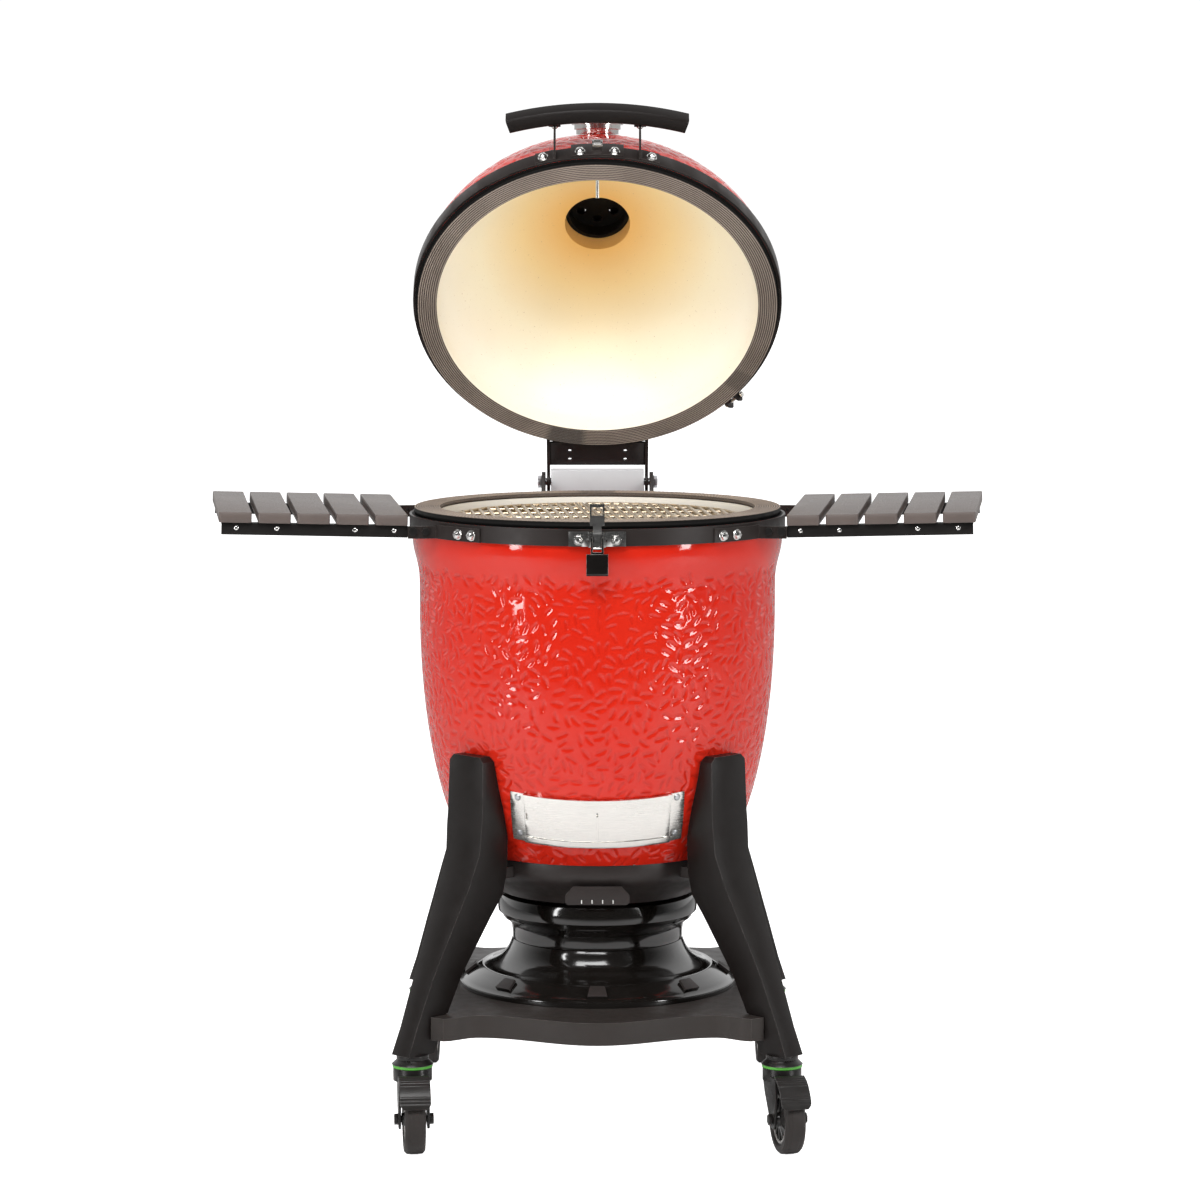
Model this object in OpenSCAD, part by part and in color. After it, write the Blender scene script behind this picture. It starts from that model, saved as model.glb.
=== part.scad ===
// Kamado ceramic grill: a thick ceramic bowl and hinged dome on a four-legged rolling cart.
// Millimetres. The bowl's axis is vertical and the front faces -Y. The origin is on the floor
// under the middle of the overall footprint, with the dome open. Heights inside the modules
// are counted from a datum a little under the floor, and on_floor() lowers them all.

/* [Ceramic bowl] */
// Outer radius of the bowl at the rim
rim_r = 283; // [279:0.5:287]
// Outer radius of the straight part of the bowl
belly_r = 272; // [266:0.5:274]
// Outer radius of the bowl's bottom edge
foot_r = 199; // [194:0.5:204]
// Thickness of the ceramic wall
wall = 28; // [24:1:30]

/* [Ceramic dome] */
// Height of the dome above the straight part of its rim
dome_rise = 220; // [212:1:230]
// Radius of the chimney hole in the top of the dome
chimney_r = 52; // [46:1:56]
// How far the dome stands open in the rest pose, in degrees
open_angle = 53.1; // [0:0.1:56]

/* [Gaskets and bands] */
// Radial width of the woven gasket
gasket_w = 30; // [24:1:31]
// Height of each steel band
band_h = 25; // [20:1:26]
// Thickness of each steel band
band_t = 3.7; // [3:0.1:4]

/* [Side shelves] */
// Width of one shelf slat
slat_w = 48.5; // [44:0.5:50]
// Gap between two slats
slat_gap = 9.4; // [8:0.2:11]
// Length of a slat, front to back
slat_l = 380; // [360:5:380]
// Thickness of a slat
slat_t = 16; // [12:1:17]

/* [Cart] */
// Height of the lower shelf's top face
platform_z = 205; // [200:1:206]
// Depth of the lower shelf's folded rim
platform_h = 34; // [26:1:35]
// Wheel radius
wheel_r = 52; // [48:0.5:53]
// Wheel width
wheel_w = 31; // [26:1:32]
// Distance from a caster's swivel axis to its wheel's axle
trail = 30; // [27:1:31]

/* [Cooking surface] */
// Radius of the split cooking grate
grate_r = 221; // [214:1:225]
// Pitch of the grate's bars
grate_pitch = 20; // [16:1:24]

/* [Hidden] */
$fn = 96;
play = 0.3;

// Heights up the bowl
foot_z = 419;
rim_z = 943;
lip_z = 932;
band_z = lip_z - band_h;
step_z = 826;

// Hinge axis, along X behind the rim
pin_y = 363;
pin_z = 950;
pin_r = 6;

// How far the whole grill is set forward so that its footprint is centred on the origin
set_forward = 20.4;
// Height of the floor above the datum that every height here is counted from
floor_z = 7;

// Dome heights, with the dome closed
dome_gap = 0.2;
dome_rim_z = rim_z + dome_gap;
dome_lip_z = dome_rim_z + 12;
dome_band_top = dome_lip_z + band_h;
dome_top = dome_lip_z + 25;

// Radii of the bands and of the plates bolted on them
band_in = rim_r + play;
band_out = band_in + band_t;
plate_in = band_out + 0.2;
plate_out = plate_in + 3;
gasket_out = 280;
gasket_in = gasket_out - gasket_w;

// The bowl's gasket reaches further in than the dome's and folds down over the inner edge
fold_in = gasket_in - 10;
fold_z = rim_z - 7;

// Bolt places round the bands, in degrees from the front towards +X, and their height
base_bolt_z = 917;
latch_bolt_a = 5.38;
shelf_bolt_a = [39.7, 45.1];
rear_bolt_a = [141.8, 147.2];
hinge_bolt_a = [171, 189];
dome_bolt_z = 963;
dome_clamp_a = 133;
base_clamp_a = 115;
arm_bolt_z = 971;

// Thermometer axis on the dome's front
gauge_z = 1100;
gauge_tilt = 39;

// Side shelves: inner front corner of the left shelf, its yaw and its tilt
shelf_corner = [-282, -170];
shelf_yaw = 6.84;
shelf_lift = 1.65;
shelf_top = 942;
shelf_depth = 5 * slat_w + 4 * slat_gap;
hinge_in = 8;
shelf_pivot_z = 918;
rail_h = 18;

// Casters: the swivel axes lie on the diagonals
caster_at = 274;
caster_spots = [[-1, -1, 5.7], [1, -1, 13], [-1, 1, 179], [1, 1, 181]];
axle_z = floor_z + wheel_r;

// Colours
red = "#e8412f";
cream = "#f6dfb8";
coal = "#2b2726";
satin = "#4b4442";
steel = "#d8d6d2";
zinc = "#b9bcc0";
mesh_grey = "#7c6c60";
ember = "#c7a57c";
green = "#7fd13b";

// Curves

function bezier(p, t) =
    pow(1 - t, 3) * p[0] + 3 * t * pow(1 - t, 2) * p[1]
    + 3 * t * t * (1 - t) * p[2] + pow(t, 3) * p[3];

function curve(p, n) = [for (i = [0:n]) bezier(p, i / n)];

function reverse(a) = [for (i = [len(a) - 1:-1:0]) a[i]];

// The bowl's outer side from its foot up to the step under the band
belly_points = [
    [foot_r, foot_z],
    [foot_r + 0.41 * (belly_r - foot_r), foot_z + 31],
    [belly_r, foot_z + 157],
    [belly_r, foot_z + 371]
];
step_points = [
    [belly_r, step_z],
    [belly_r, step_z + 38],
    [rim_r, step_z + 42],
    [rim_r, 905]
];
bowl_side = concat(curve(belly_points, 16), curve(step_points, 8));

function bowl_r(z) = lookup(z, [for (p = bowl_side) [p[1], p[0]]]);

// A quarter of the dome's outline from its rim (t = 0) to its top (t = 90); a power of 2 is an ellipse
dome_power = 1.5;
function dome_point(a, h, z0, t) = [a * cos(t), z0 + h * pow(sin(t), 2 / dome_power)];

function dome_curve(a, h, z0, r_top, n) =
    let (t1 = acos(r_top / a))
    [for (i = [0:n]) dome_point(a, h, z0, t1 * i / n)];

// Height of the dome's glaze at a radius, and its radius at a height
function dome_z(r) = dome_top + dome_rise * pow(1 - pow(r / rim_r, 2), 1 / dome_power);
function dome_r(z) = rim_r * sqrt(1 - pow((z - dome_top) / dome_rise, dome_power));

// Placing

module on_floor() {
    translate([0, -set_forward, -floor_z]) children();
}

// Turns children drawn at the front (-Y) by an angle towards +X
module at_angle(a) {
    rotate([0, 0, a]) children();
}

// Local +Z becomes outward, at the given radius and height, at the front
module facing_out(r, z) {
    translate([0, -r, z]) rotate([90, 0, 0]) children();
}

// The dome and its fittings are drawn closed and turned about the hinge pin
module opened() {
    on_floor()
        translate([0, pin_y, pin_z])
            rotate([-open_angle, 0, 0])
                translate([0, -pin_y, -pin_z])
                    children();
}

module four_corners() {
    for (a = [45, 135, 225, 315]) at_angle(a) children();
}

// Building blocks

// A block of a ring between two radii, two heights and two angles from the front
module ring_block(r0, r1, z0, z1, a0, a1) {
    rotate([0, 0, a0 - 90])
        rotate_extrude(angle = a1 - a0)
            translate([r0, z0]) square([r1 - r0, z1 - z0]);
}

module ring(r0, r1, z0, z1) {
    rotate_extrude() translate([r0, z0]) square([r1 - r0, z1 - z0]);
}

// A dome nut on a washer, standing on z = 0, with its shank below
module dome_nut(shank_l) {
    cylinder(h = 1.4, r = 8);
    translate([0, 0, 1.3]) cylinder(h = 4.2, r = 6.6, $fn = 6);
    translate([0, 0, 5.4]) cylinder(h = 2.4, r1 = 5.4, r2 = 2.6);
    translate([0, 0, -shank_l]) cylinder(h = shank_l + 1, r = 3);
}

module bolt_hole(l) {
    translate([0, 0, -l]) cylinder(h = 2 * l, r = 3.2);
}

// Ceramic bowl and what it holds

module base_shell() {
    inner = [for (p = bowl_side) if (p[1] > foot_z + 26 && p[1] < 890) [p[0] - wall, p[1]]];
    color(red) on_floor() difference() {
        rotate_extrude() polygon(concat(
            bowl_side,
            [[rim_r, lip_z], [gasket_out - 3 - play, lip_z]],
            [[gasket_out - 3 - play, rim_z - 3 - play]],
            [[fold_in + 3 + play, rim_z - 3 - play], [fold_in + 3 + play, fold_z - play]],
            [[fold_in + 0.5, fold_z - play], [fold_in + 1, fold_z - 14]],
            reverse(inner),
            [[90, foot_z + 26], [90, foot_z]]
        ));
        draft_hole(466, 514);
    }
}

module base_gasket() {
    color(mesh_grey) on_floor() rotate_extrude() polygon([
        [fold_in, fold_z], [fold_in + 3, fold_z], [fold_in + 3, rim_z - 3],
        [gasket_out - 3, rim_z - 3], [gasket_out - 3, lip_z + play],
        [gasket_out, lip_z + play], [gasket_out, rim_z], [fold_in, rim_z]
    ]);
}

// A split ring with two folded clamp ears at angle a; z0 is its lower edge
module clamped_band(z0, a) {
    ring_block(band_in, band_out, z0, z0 + band_h, a + 1.2, a + 358.8);
    for (side = [-1, 1])
        at_angle(a + side * 1.5)
            translate([side * 2.2 - 1.5, -band_in - 22, z0])
                rotate([90, 0, 90])
                    linear_extrude(3)
                        polygon([[0, 6], [8, 0], [21, 0], [21, band_h], [8, band_h], [0, band_h - 6]]);
}

// Every bolt place on the bowl's band, drawn at radius r
module base_bolt_spots(r) {
    for (a = concat([-latch_bolt_a, latch_bolt_a], hinge_bolt_a))
        at_angle(a) facing_out(r, base_bolt_z) children();
    for (s = [-1, 1], a = concat(shelf_bolt_a, rear_bolt_a))
        at_angle(s * a) facing_out(r, base_bolt_z) children();
}

module base_bolt_holes() {
    base_bolt_spots(band_in) bolt_hole(12);
}

module clamp_hole(z0, a) {
    at_angle(a)
        translate([-20, -band_out - 11, z0 + band_h / 2])
            rotate([0, 90, 0]) cylinder(h = 40, r = 3.2);
}

module base_band() {
    color(coal) on_floor() difference() {
        clamped_band(band_z, base_clamp_a);
        base_bolt_holes();
        clamp_hole(band_z, base_clamp_a);
    }
}

// A bolt across the clamp ears, with a nut at each end
module clamp_bolt(z0, a) {
    at_angle(a)
        translate([0, -band_out - 11, z0 + band_h / 2]) rotate([0, 90, 0]) {
            translate([0, 0, -19]) cylinder(h = 38, r = 3);
            for (z = [11.9, -16.9]) translate([0, 0, z]) cylinder(h = 5, r = 6, $fn = 6);
        }
}

module band_bolts() {
    shank = plate_out - band_in - 0.2;
    color(steel) on_floor() {
        base_bolt_spots(plate_out) dome_nut(shank);
        clamp_bolt(band_z, base_clamp_a);
    }
}

// Hinge

// An ear that carries the pin: a plate in the YZ plane from x0, with a round end
module hinge_ear(x0, t, front_y, z0, z1) {
    translate([x0, 0, 0]) rotate([90, 0, 90]) linear_extrude(t) difference() {
        union() {
            translate([pin_y, pin_z]) circle(r = 16);
            polygon([
                [front_y, z0], [pin_y + 6, z0], [pin_y + 16, pin_z],
                [pin_y, pin_z + 16], [front_y, z1]
            ]);
        }
        translate([pin_y, pin_z]) circle(r = pin_r + 0.05);
    }
}

module hinge_bracket() {
    half = asin(90 / plate_out);
    color(coal) on_floor() difference() {
        union() {
            ring_block(plate_in, plate_out, band_z, lip_z, 180 - half, 180 + half);
            hinge_ear(84, 6, plate_in - 10, band_z, lip_z);
            hinge_ear(-90, 6, plate_in - 10, band_z, lip_z);
            translate([-84.5, 346, band_z]) cube([169, 24, 3]);
        }
        base_bolt_holes();
        ring(0, plate_in, band_z - 1, lip_z + 1);
    }
}

module hinge_pin() {
    color(zinc) on_floor() translate([0, pin_y, pin_z]) rotate([0, 90, 0]) {
        translate([0, 0, -97]) cylinder(h = 194, r = pin_r);
        for (z = [90.3, -96.3]) translate([0, 0, z]) cylinder(h = 6, r = 10, $fn = 6);
    }
}

module hinge_springs() {
    color(zinc) on_floor() translate([0, pin_y, pin_z]) rotate([0, 90, 0])
        for (side = [-1, 1], i = [0:9])
            translate([0, 0, side * (16 + 5.2 * i)])
                rotate_extrude() translate([10.5, 0]) circle(r = 2.1, $fn = 24);
}

module spring_cover() {
    color(zinc) on_floor() difference() {
        translate([-75, pin_y - 20, pin_z - 20]) cube([150, 40, 40]);
        translate([-73, pin_y - 18, pin_z - 21]) cube([146, 36, 39]);
        translate([-80, pin_y, pin_z]) rotate([0, 90, 0]) cylinder(h = 160, r = pin_r + 0.3);
    }
}

module hinge_arm() {
    web_y = 333;
    half = asin(81.6 / plate_out);
    color(coal) opened() difference() {
        union() {
            ring_block(plate_in, plate_out, dome_lip_z, dome_band_top, 180 - half, 180 + half);
            translate([-80, 286, 956.5]) cube([160, web_y - 286, 4]);
            hinge_ear(76.6, 5, plate_in - 10, pin_z + 5, dome_band_top);
            hinge_ear(-81.6, 5, plate_in - 10, pin_z + 5, dome_band_top);
        }
        ring(0, plate_in, dome_rim_z - 20, dome_band_top + 10);
        for (x = [-44.6, 44.6], y = [303, 321])
            translate([x, y, 950]) cylinder(h = 20, r = 3.2);
        dome_bolt_holes();
    }
}

// Latch

latch_y = -299;
latch_z = 917;
bail_drop = 12;

module latch_plate() {
    half = asin(42 / plate_out);
    color(steel) on_floor() difference() {
        union() {
            ring_block(plate_in, plate_out, 907, 929, -half, half);
            for (x = [-12.2, 9.8])
                translate([x, latch_y - 5, 907]) cube([2.4, -plate_out - latch_y + 6, 22]);
        }
        translate([-20, latch_y, latch_z]) rotate([0, 90, 0]) cylinder(h = 40, r = 2.05);
        base_bolt_holes();
        ring(0, plate_in, 900, 935);
    }
}

module latch_lever() {
    color(steel) on_floor() {
        difference() {
            union() {
                for (x = [-9.4, 6.6]) translate([x, latch_y - 5, 896]) cube([2.8, 9, 26]);
                translate([-9.4, latch_y - 5, 895]) cube([18.8, 4, 5]);
            }
            translate([-20, latch_y, latch_z - bail_drop]) rotate([0, 90, 0])
                cylinder(h = 40, r = 2.05);
        }
        for (x = [-15.2, 6.6]) translate([x, latch_y, latch_z]) rotate([0, 90, 0])
            cylinder(h = 8.6, r = 2);
        translate([-16, latch_y - 7, 865]) rotate([90, 0, 90]) linear_extrude(32)
            polygon([[0, 3], [3, 0], [8, 0], [10, 3], [10, 32], [0, 32]]);
    }
}

module latch_bail() {
    bail_z = latch_z - bail_drop;
    color(steel) on_floor() difference() {
        union() {
            translate([-9.3, latch_y, bail_z]) rotate([0, 90, 0]) cylinder(h = 18.6, r = 2);
            translate([-6.2, latch_y - 1, bail_z - 1]) cube([12.4, 2, 25]);
            translate([-6.2, latch_y - 8.5, bail_z + 22]) cube([12.4, 9.5, 2]);
            translate([-6.2, latch_y - 8.5, bail_z + 22]) cube([12.4, 2, 14]);
            translate([-10.6, latch_y - 8.5, bail_z + 34]) cube([21.2, 2, 32]);
        }
        translate([-8.2, latch_y - 10, bail_z + 49]) cube([16.4, 5, 12]);
    }
}

// Side shelves

// The shelf hinge's frame on the left: x runs outward, y runs front to back along the
// shelf's inner edge, and z = 0 is at the pivot
module shelf_frame(side) {
    on_floor() scale_side(side)
        translate([shelf_corner[0], shelf_corner[1], shelf_pivot_z])
            rotate([0, 0, 180 + shelf_yaw])
                mirror([0, 1, 0])
                    translate([-hinge_in, 0, 0])
                        children();
}

// side = 1 keeps the left-hand side, -1 mirrors it to the right
module scale_side(side) {
    if (side == 1) children();
    else mirror([1, 0, 0]) children();
}

front_rail_y = 7;
rear_rail_y = slat_l - 13;
arm_reach = [[-38, front_rail_y - 4], [-122, rear_rail_y + 6.5]];

module shelf_arm(inner_x, y) {
    difference() {
        translate([inner_x, y, -11]) cube([7.5 - inner_x, 3, 18.5]);
        translate([0, y - 5, 0]) rotate([-90, 0, 0]) cylinder(h = 20, r = 4.05);
        translate([-19, y - 5, 0]) rotate([-90, 0, 0]) cylinder(h = 20, r = 3.2);
    }
}

module shelf_brackets() {
    color(coal) difference() {
        union() {
            for (side = [1, -1]) shelf_frame(side)
                for (arm = arm_reach) shelf_arm(arm[0], arm[1]);
            for (side = [1, -1]) on_floor() {
                mirrored_block(side, 36.8, 56.5);
                mirrored_block(side, 134, 150);
            }
        }
        on_floor() base_bolt_holes();
        on_floor() ring(0, plate_in, 890, 950);
    }
}

// A curved foot on the band, mirrored to either side
module mirrored_block(side, a0, a1) {
    if (side == 1) ring_block(plate_in, plate_out, 907, 928, -a1, -a0);
    else ring_block(plate_in, plate_out, 907, 928, a0, a1);
}

module shelf_pivots() {
    color(zinc) for (side = [1, -1]) shelf_frame(side) for (arm = arm_reach) {
        front = arm[1] < 50;
        y = front ? arm[1] : arm[1] + 3;
        turn = front ? 90 : -90;
        reach = front ? 12 : 14;
        translate([0, y, 0]) rotate([turn, 0, 0]) {
            translate([0, 0, 0.05]) cylinder(h = 3, r = 6.5);
            translate([0, 0, -reach]) cylinder(h = reach + 1, r = 4);
        }
        translate([-19, y, 0]) rotate([turn, 0, 0]) {
            translate([0, 0, 0.05]) cylinder(h = 3.4, r = 6, $fn = 6);
            translate([0, 0, -4]) cylinder(h = 5, r = 3);
        }
    }
}

module tilted_shelf() {
    rotate([0, -shelf_lift, 0]) children();
}

module shelf_rails(side) {
    color(coal) shelf_frame(side) tilted_shelf()
        for (y = [front_rail_y, rear_rail_y]) difference() {
            union() {
                translate([hinge_in, y, -10]) cube([shelf_depth - 4, 4, rail_h]);
                translate([-9, y, -9]) cube([20, 4, 16]);
                translate([hinge_in, y < 50 ? y : y - 14, 5]) cube([shelf_depth - 4, 18, 3]);
            }
            translate([0, y - 5, 0]) rotate([-90, 0, 0]) cylinder(h = 20, r = 4.05);
        }
}

module shelf_slats(side) {
    color(satin) shelf_frame(side) tilted_shelf()
        for (i = [0:4])
            translate([hinge_in + i * (slat_w + slat_gap), 0, 8 + play])
                linear_extrude(slat_t) rounded_slat();
}

module rounded_slat() {
    c = 2;
    polygon([
        [c, 0], [slat_w - c, 0], [slat_w, c], [slat_w, slat_l - c],
        [slat_w - c, slat_l], [c, slat_l], [0, slat_l - c], [0, c]
    ]);
}

module left_shelf_rails() { shelf_rails(1); }
module left_shelf_slats() { shelf_slats(1); }
module right_shelf_rails() { shelf_rails(-1); }
module right_shelf_slats() { shelf_slats(-1); }

// Draft door: a curved sheet in a curved frame, both turned about one tilted axis

draft_z0 = 452;
draft_z1 = 527;
draft_half = 32;
draft_window = 24.5;
draft_lip_half = 26.6;
draft_screw_a = 29;
door_half = 26.2;
door_gap = 5.15;
door_t = 1.1;

draft_tilt = 12;
draft_mid = 490;
draft_axis_z = draft_mid + bowl_r(draft_mid) * tan(draft_tilt);

// Radius and height of the bowl's front at a height, counted from the tilted axis
function draft_r(z) = bowl_r(z) * cos(draft_tilt) - (z - draft_axis_z) * sin(draft_tilt);
function draft_h(z) = bowl_r(z) * sin(draft_tilt) + (z - draft_axis_z) * cos(draft_tilt);
function draft_slope(z) = atan((draft_r(z + 2) - draft_r(z - 2)) / (draft_h(z + 2) - draft_h(z - 2)));

module draft_tilted() {
    translate([0, 0, draft_axis_z]) rotate([draft_tilt, 0, 0]) children();
}

// A curved sheet that follows the bowl's front at a gap, between two heights and angles
module hugging_sheet(gap, t, z0, z1, a0, a1) {
    n = 6;
    heights = [for (i = [0:n]) z0 + (z1 - z0) * i / n];
    draft_tilted() rotate([0, 0, a0 - 90]) rotate_extrude(angle = a1 - a0) polygon(concat(
        [for (z = heights) [draft_r(z) + gap, draft_h(z)]],
        reverse([for (z = heights) [draft_r(z) + gap + t, draft_h(z)]])
    ));
}

// The rectangular way in for the air, through the frame and the ceramic
module draft_hole(z0, z1) {
    draft_tilted() ring_block(150, 300, draft_h(z0), draft_h(z1), -draft_window, draft_window);
}

// Each screw stands square on the frame's sheet, with z = 0 on the sheet
module draft_screw_spots() {
    draft_tilted()
        for (a = [-draft_screw_a, draft_screw_a], z = [draft_z0 + 12, draft_z1 - 7])
            at_angle(a)
                translate([0, -draft_r(z), draft_h(z)]) rotate([90 + draft_slope(z), 0, 0])
                    translate([0, 0, 3.3]) children();
}

module draft_frame() {
    a = draft_half;
    b = draft_lip_half;
    color(steel) on_floor() difference() {
        union() {
            difference() {
                hugging_sheet(1.75, 1.4, draft_z0, draft_z1, -a, a);
                draft_hole(468, 512);
            }
            hugging_sheet(3.05, 3.7, draft_z1 - 5, draft_z1, -b, b);
            hugging_sheet(3.05, 3.7, draft_z0, draft_z0 + 5, -b, b);
            hugging_sheet(6.65, 1.2, draft_z1 - 9, draft_z1, -b, b);
            hugging_sheet(6.65, 1.2, draft_z0, draft_z0 + 9, -b, b);
        }
        draft_screw_spots() bolt_hole(6);
    }
}

module draft_screws() {
    color(zinc) on_floor() draft_screw_spots() {
        cylinder(h = 1.6, r1 = 5.2, r2 = 3.6);
        translate([0, 0, -1.6]) cylinder(h = 1.8, r = 2.6);
    }
}

module draft_door() {
    color(steel) on_floor() difference() {
        union() {
            hugging_sheet(door_gap, door_t, draft_z0 + 5.4, draft_z1 - 5.4, -door_half, door_half);
            hugging_sheet(door_gap + door_t - 0.1, 7, draft_z0 + 10, draft_z0 + 52, -0.35, 0.35);
        }
        draft_tilted() ring_block(200, 300, draft_h(488), draft_h(498), -25.7, -25.1);
    }
}

// Fire parts inside the bowl

module firebox() {
    color(ember) on_floor() difference() {
        rotate_extrude() polygon([
            [60, 446], [150, 446], [168, 470], [196, 590], [196, 610],
            [174, 610], [148, 476], [136, 464], [60, 464]
        ]);
        ring_block(100, 240, 467, 513, -14, 14);
    }
}

module fire_ring() {
    color(ember) on_floor()
        rotate_extrude() polygon([[172, 610.2], [204, 610.2], [212, 760], [190, 760]]);
}

// A round lattice of square bars inside a rim
module lattice(r, rim, bar, pitch) {
    n = floor(r / pitch);
    difference() {
        circle(r = r);
        circle(r = r - rim);
    }
    intersection() {
        circle(r = r - rim / 2);
        union() {
            for (i = [-n:n]) translate([i * pitch - bar / 2, -r]) square([bar, 2 * r]);
            for (i = [-1:1]) translate([-r, i * r / 2 - bar / 2]) square([2 * r, bar]);
        }
    }
}

module charcoal_grate() {
    color(coal) on_floor() translate([0, 0, 470])
        linear_extrude(8) lattice(138, 8, 7, 23);
}

// Underside of the split grate
grate_z = 923;

// The rack that carries the split grate: two hoops joined by posts
module cooking_rack() {
    color(steel) on_floor() {
        ring(203, 211, 760.3, 766.3);
        ring(203, 211, grate_z - 6.4, grate_z - 0.4);
        for (a = [30:60:330]) at_angle(a)
            translate([-3, -210, 764]) cube([6, 6, grate_z - 768]);
    }
}

// One half of the split grate; side is -1 for the left half
module half_grate(side) {
    gap = 1.2;
    turn = 5.5;
    color(steel) on_floor() rotate([0, 0, turn]) translate([0, 0, grate_z]) {
        linear_extrude(6) intersection() {
            union() {
                lattice_half(side, gap);
            }
            circle(r = grate_r);
        }
    }
}

module lattice_half(side, gap) {
    n = floor(grate_r / grate_pitch);
    bar = 4;
    difference() {
        circle(r = grate_r);
        circle(r = grate_r - 7);
        translate([side > 0 ? -300 : -gap, -300]) square([side > 0 ? 300 + gap : 300 + gap, 600]);
    }
    intersection() {
        circle(r = grate_r - 3);
        union() {
            translate([side > 0 ? gap : -gap - 6, -300]) square([6, 600]);
            for (i = [1:n]) translate([side * (i * grate_pitch) - bar / 2, -300]) square([bar, 600]);
            for (i = [-4:4])
                translate([side > 0 ? gap : -300, i * 46 - bar / 2]) square([300 - gap, bar]);
        }
    }
}

module left_grate() { half_grate(-1); }
module right_grate() { half_grate(1); }

// Base castings under the bowl

collar_outer = curve([[198, 402], [198, 380], [158, 372], [151, 352]], 8);

module collar() {
    shell = 5;
    color(coal) on_floor() difference() {
        union() {
            rotate_extrude() polygon(concat(
                [[104, 300], [108, 300], [108, 413.7], [198 - shell, 413.7]],
                [for (p = collar_outer) [p[0] - shell, p[1]]],
                reverse(collar_outer),
                [[198, 418.7], [104, 418.7]]
            ));
            four_corners() translate([-19, -226, 394]) cube([38, 30, 16]);
        }
        four_corners() facing_out(180, 402) cylinder(h = 60, r = 4.2);
    }
}

// Small plate with the damper's scale, standing upright on two blocks in front of the collar
module scale_plate() {
    color(coal) on_floor() {
        translate([0, -203.5, 361]) rotate([90, 0, 0]) linear_extrude(2)
            polygon([[-44, 0], [44, 0], [48, 4], [48, 15], [36, 28], [-36, 28], [-48, 15], [-48, 4]]);
        difference() {
            for (x = [-24, 24])
                translate([x - 4, -203.5, 380]) cube([8, 30, 6]);
            rotate_extrude() polygon(concat(
                [[0, 352]],
                [for (p = reverse(collar_outer)) [p[0] + 0.2, p[1]]],
                [[0, 402]]
            ));
        }
    }
}

module air_bell() {
    bowl = concat(
        [[141, 348]],
        curve([[150, 345], [153, 336], [154, 328], [153, 319]], 5),
        [[147, 314], [145, 309], [141, 307]],
        curve([[134, 300], [131, 292], [131, 284], [131, 276]], 4)
    );
    shell = 5;
    color(coal) on_floor() rotate_extrude() polygon(concat(
        bowl,
        [[112, 276], [112, 346], [116, 346], [116, 281]],
        reverse([for (p = bowl) if (p[1] > 280) [p[0] - shell, p[1]]])
    ));
}

module ash_skirt() {
    outer = concat(
        [[131, 275.5]],
        curve([[134, 268], [140, 250], [152, 243], [174, 234]], 6),
        [[178, 234.5]],
        curve([[186, 229], [196, 223], [204, 218], [208, 214]], 4),
        [[213, 213], [213, platform_z + 0.2]]
    );
    color(coal) on_floor() rotate_extrude() polygon(concat(
        outer,
        [[204, platform_z + 0.2], [170, 226], [148, 238], [127, 262], [120, 275.5]]
    ));
}

module skirt_clips() {
    color(coal) on_floor() for (a = [0:45:315]) at_angle(a)
        translate([0, -193, 225.4]) rotate([36, 0, 0]) linear_extrude(4)
            polygon([[-15, -11], [15, -11], [11, 10], [-11, 10]]);
}

// Cart

// Heights and radii of a leg in its own diagonal plane: outer ridge, inner edge
leg_top = 585;
leg_foot = 150;
leg_outer = [[276, leg_top], [279, 500], [284, 440], [302, 392], [325, 345], [350, 293], [365, 261], [395, 190], [412, leg_foot]];
leg_inner = [[361, leg_foot], [306, 261], [285, 293], [252, 345], [232, 373], [226, 405], [227, 459], [238, 513], [251, leg_top]];
leg_half = [[36, leg_top], [38, 480], [36.5, 440], [33, 392], [28.7, 345], [23.5, 293], [21, 261], [17.8, 190], [19, leg_foot]];

module leg_side(outline_in, outline_out) {
    rotate([90, 0, 90]) translate([0, 0, -60]) linear_extrude(120)
        polygon(concat(outline_out, outline_in));
}

module leg_front(shrink, lift) {
    c = 8;
    right = [for (p = leg_half) [p[0] - shrink, p[1] - lift]];
    left = reverse([for (p = leg_half) [shrink - p[0], p[1] - lift]]);
    rotate([90, 0, 0]) translate([0, 0, -40]) linear_extrude(600) polygon(concat(
        [[right[0][0] - c, right[0][1]], [right[0][0], right[0][1] - c]],
        [for (i = [1:len(right) - 1]) right[i]],
        [for (i = [0:len(left) - 2]) left[i]],
        [[left[len(left) - 1][0], right[0][1] - c], [left[len(left) - 1][0] + c, right[0][1]]]
    ));
}

// A leg at the front: outward is -Y
module leg() {
    sheet = 4;
    difference() {
        union() {
            intersection() {
                mirror([0, 1, 0]) leg_side(leg_inner, leg_outer);
                leg_front(0, 0);
            }
            translate([-14, -362, platform_z - platform_h + 4])
                cube([28, 362 - shelf_joint_r - 0.3, platform_h - 8]);
        }
        difference() {
            intersection() {
                mirror([0, 1, 0]) leg_side(
                    [for (p = leg_inner) [p[0] - 30, p[1]]],
                    [for (p = leg_outer) [p[0] - sheet, p[1]]]
                );
                leg_front(sheet, sheet);
            }
            translate([-60, -500, 0]) cube([120, 400, leg_foot + 8]);
            translate([-60, -500, platform_z - platform_h - 2]) cube([120, 400, platform_h + 4]);
            translate([-60, -500, 392]) cube([120, 400, 20]);
        }
        bolt_bores();
        translate([0, -387.5, leg_foot - 5]) cylinder(h = 40, r = 6.2);
    }
}

collar_joint_r = 226.4;
shelf_joint_r = 336;

// Blind holes for the bolts that hold the collar and the lower shelf
module bolt_bores() {
    facing_out(200, 402) cylinder(h = 60, r = 4.2);
    facing_out(320, platform_z - platform_h / 2) cylinder(h = 46, r = 4.2);
}

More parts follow.
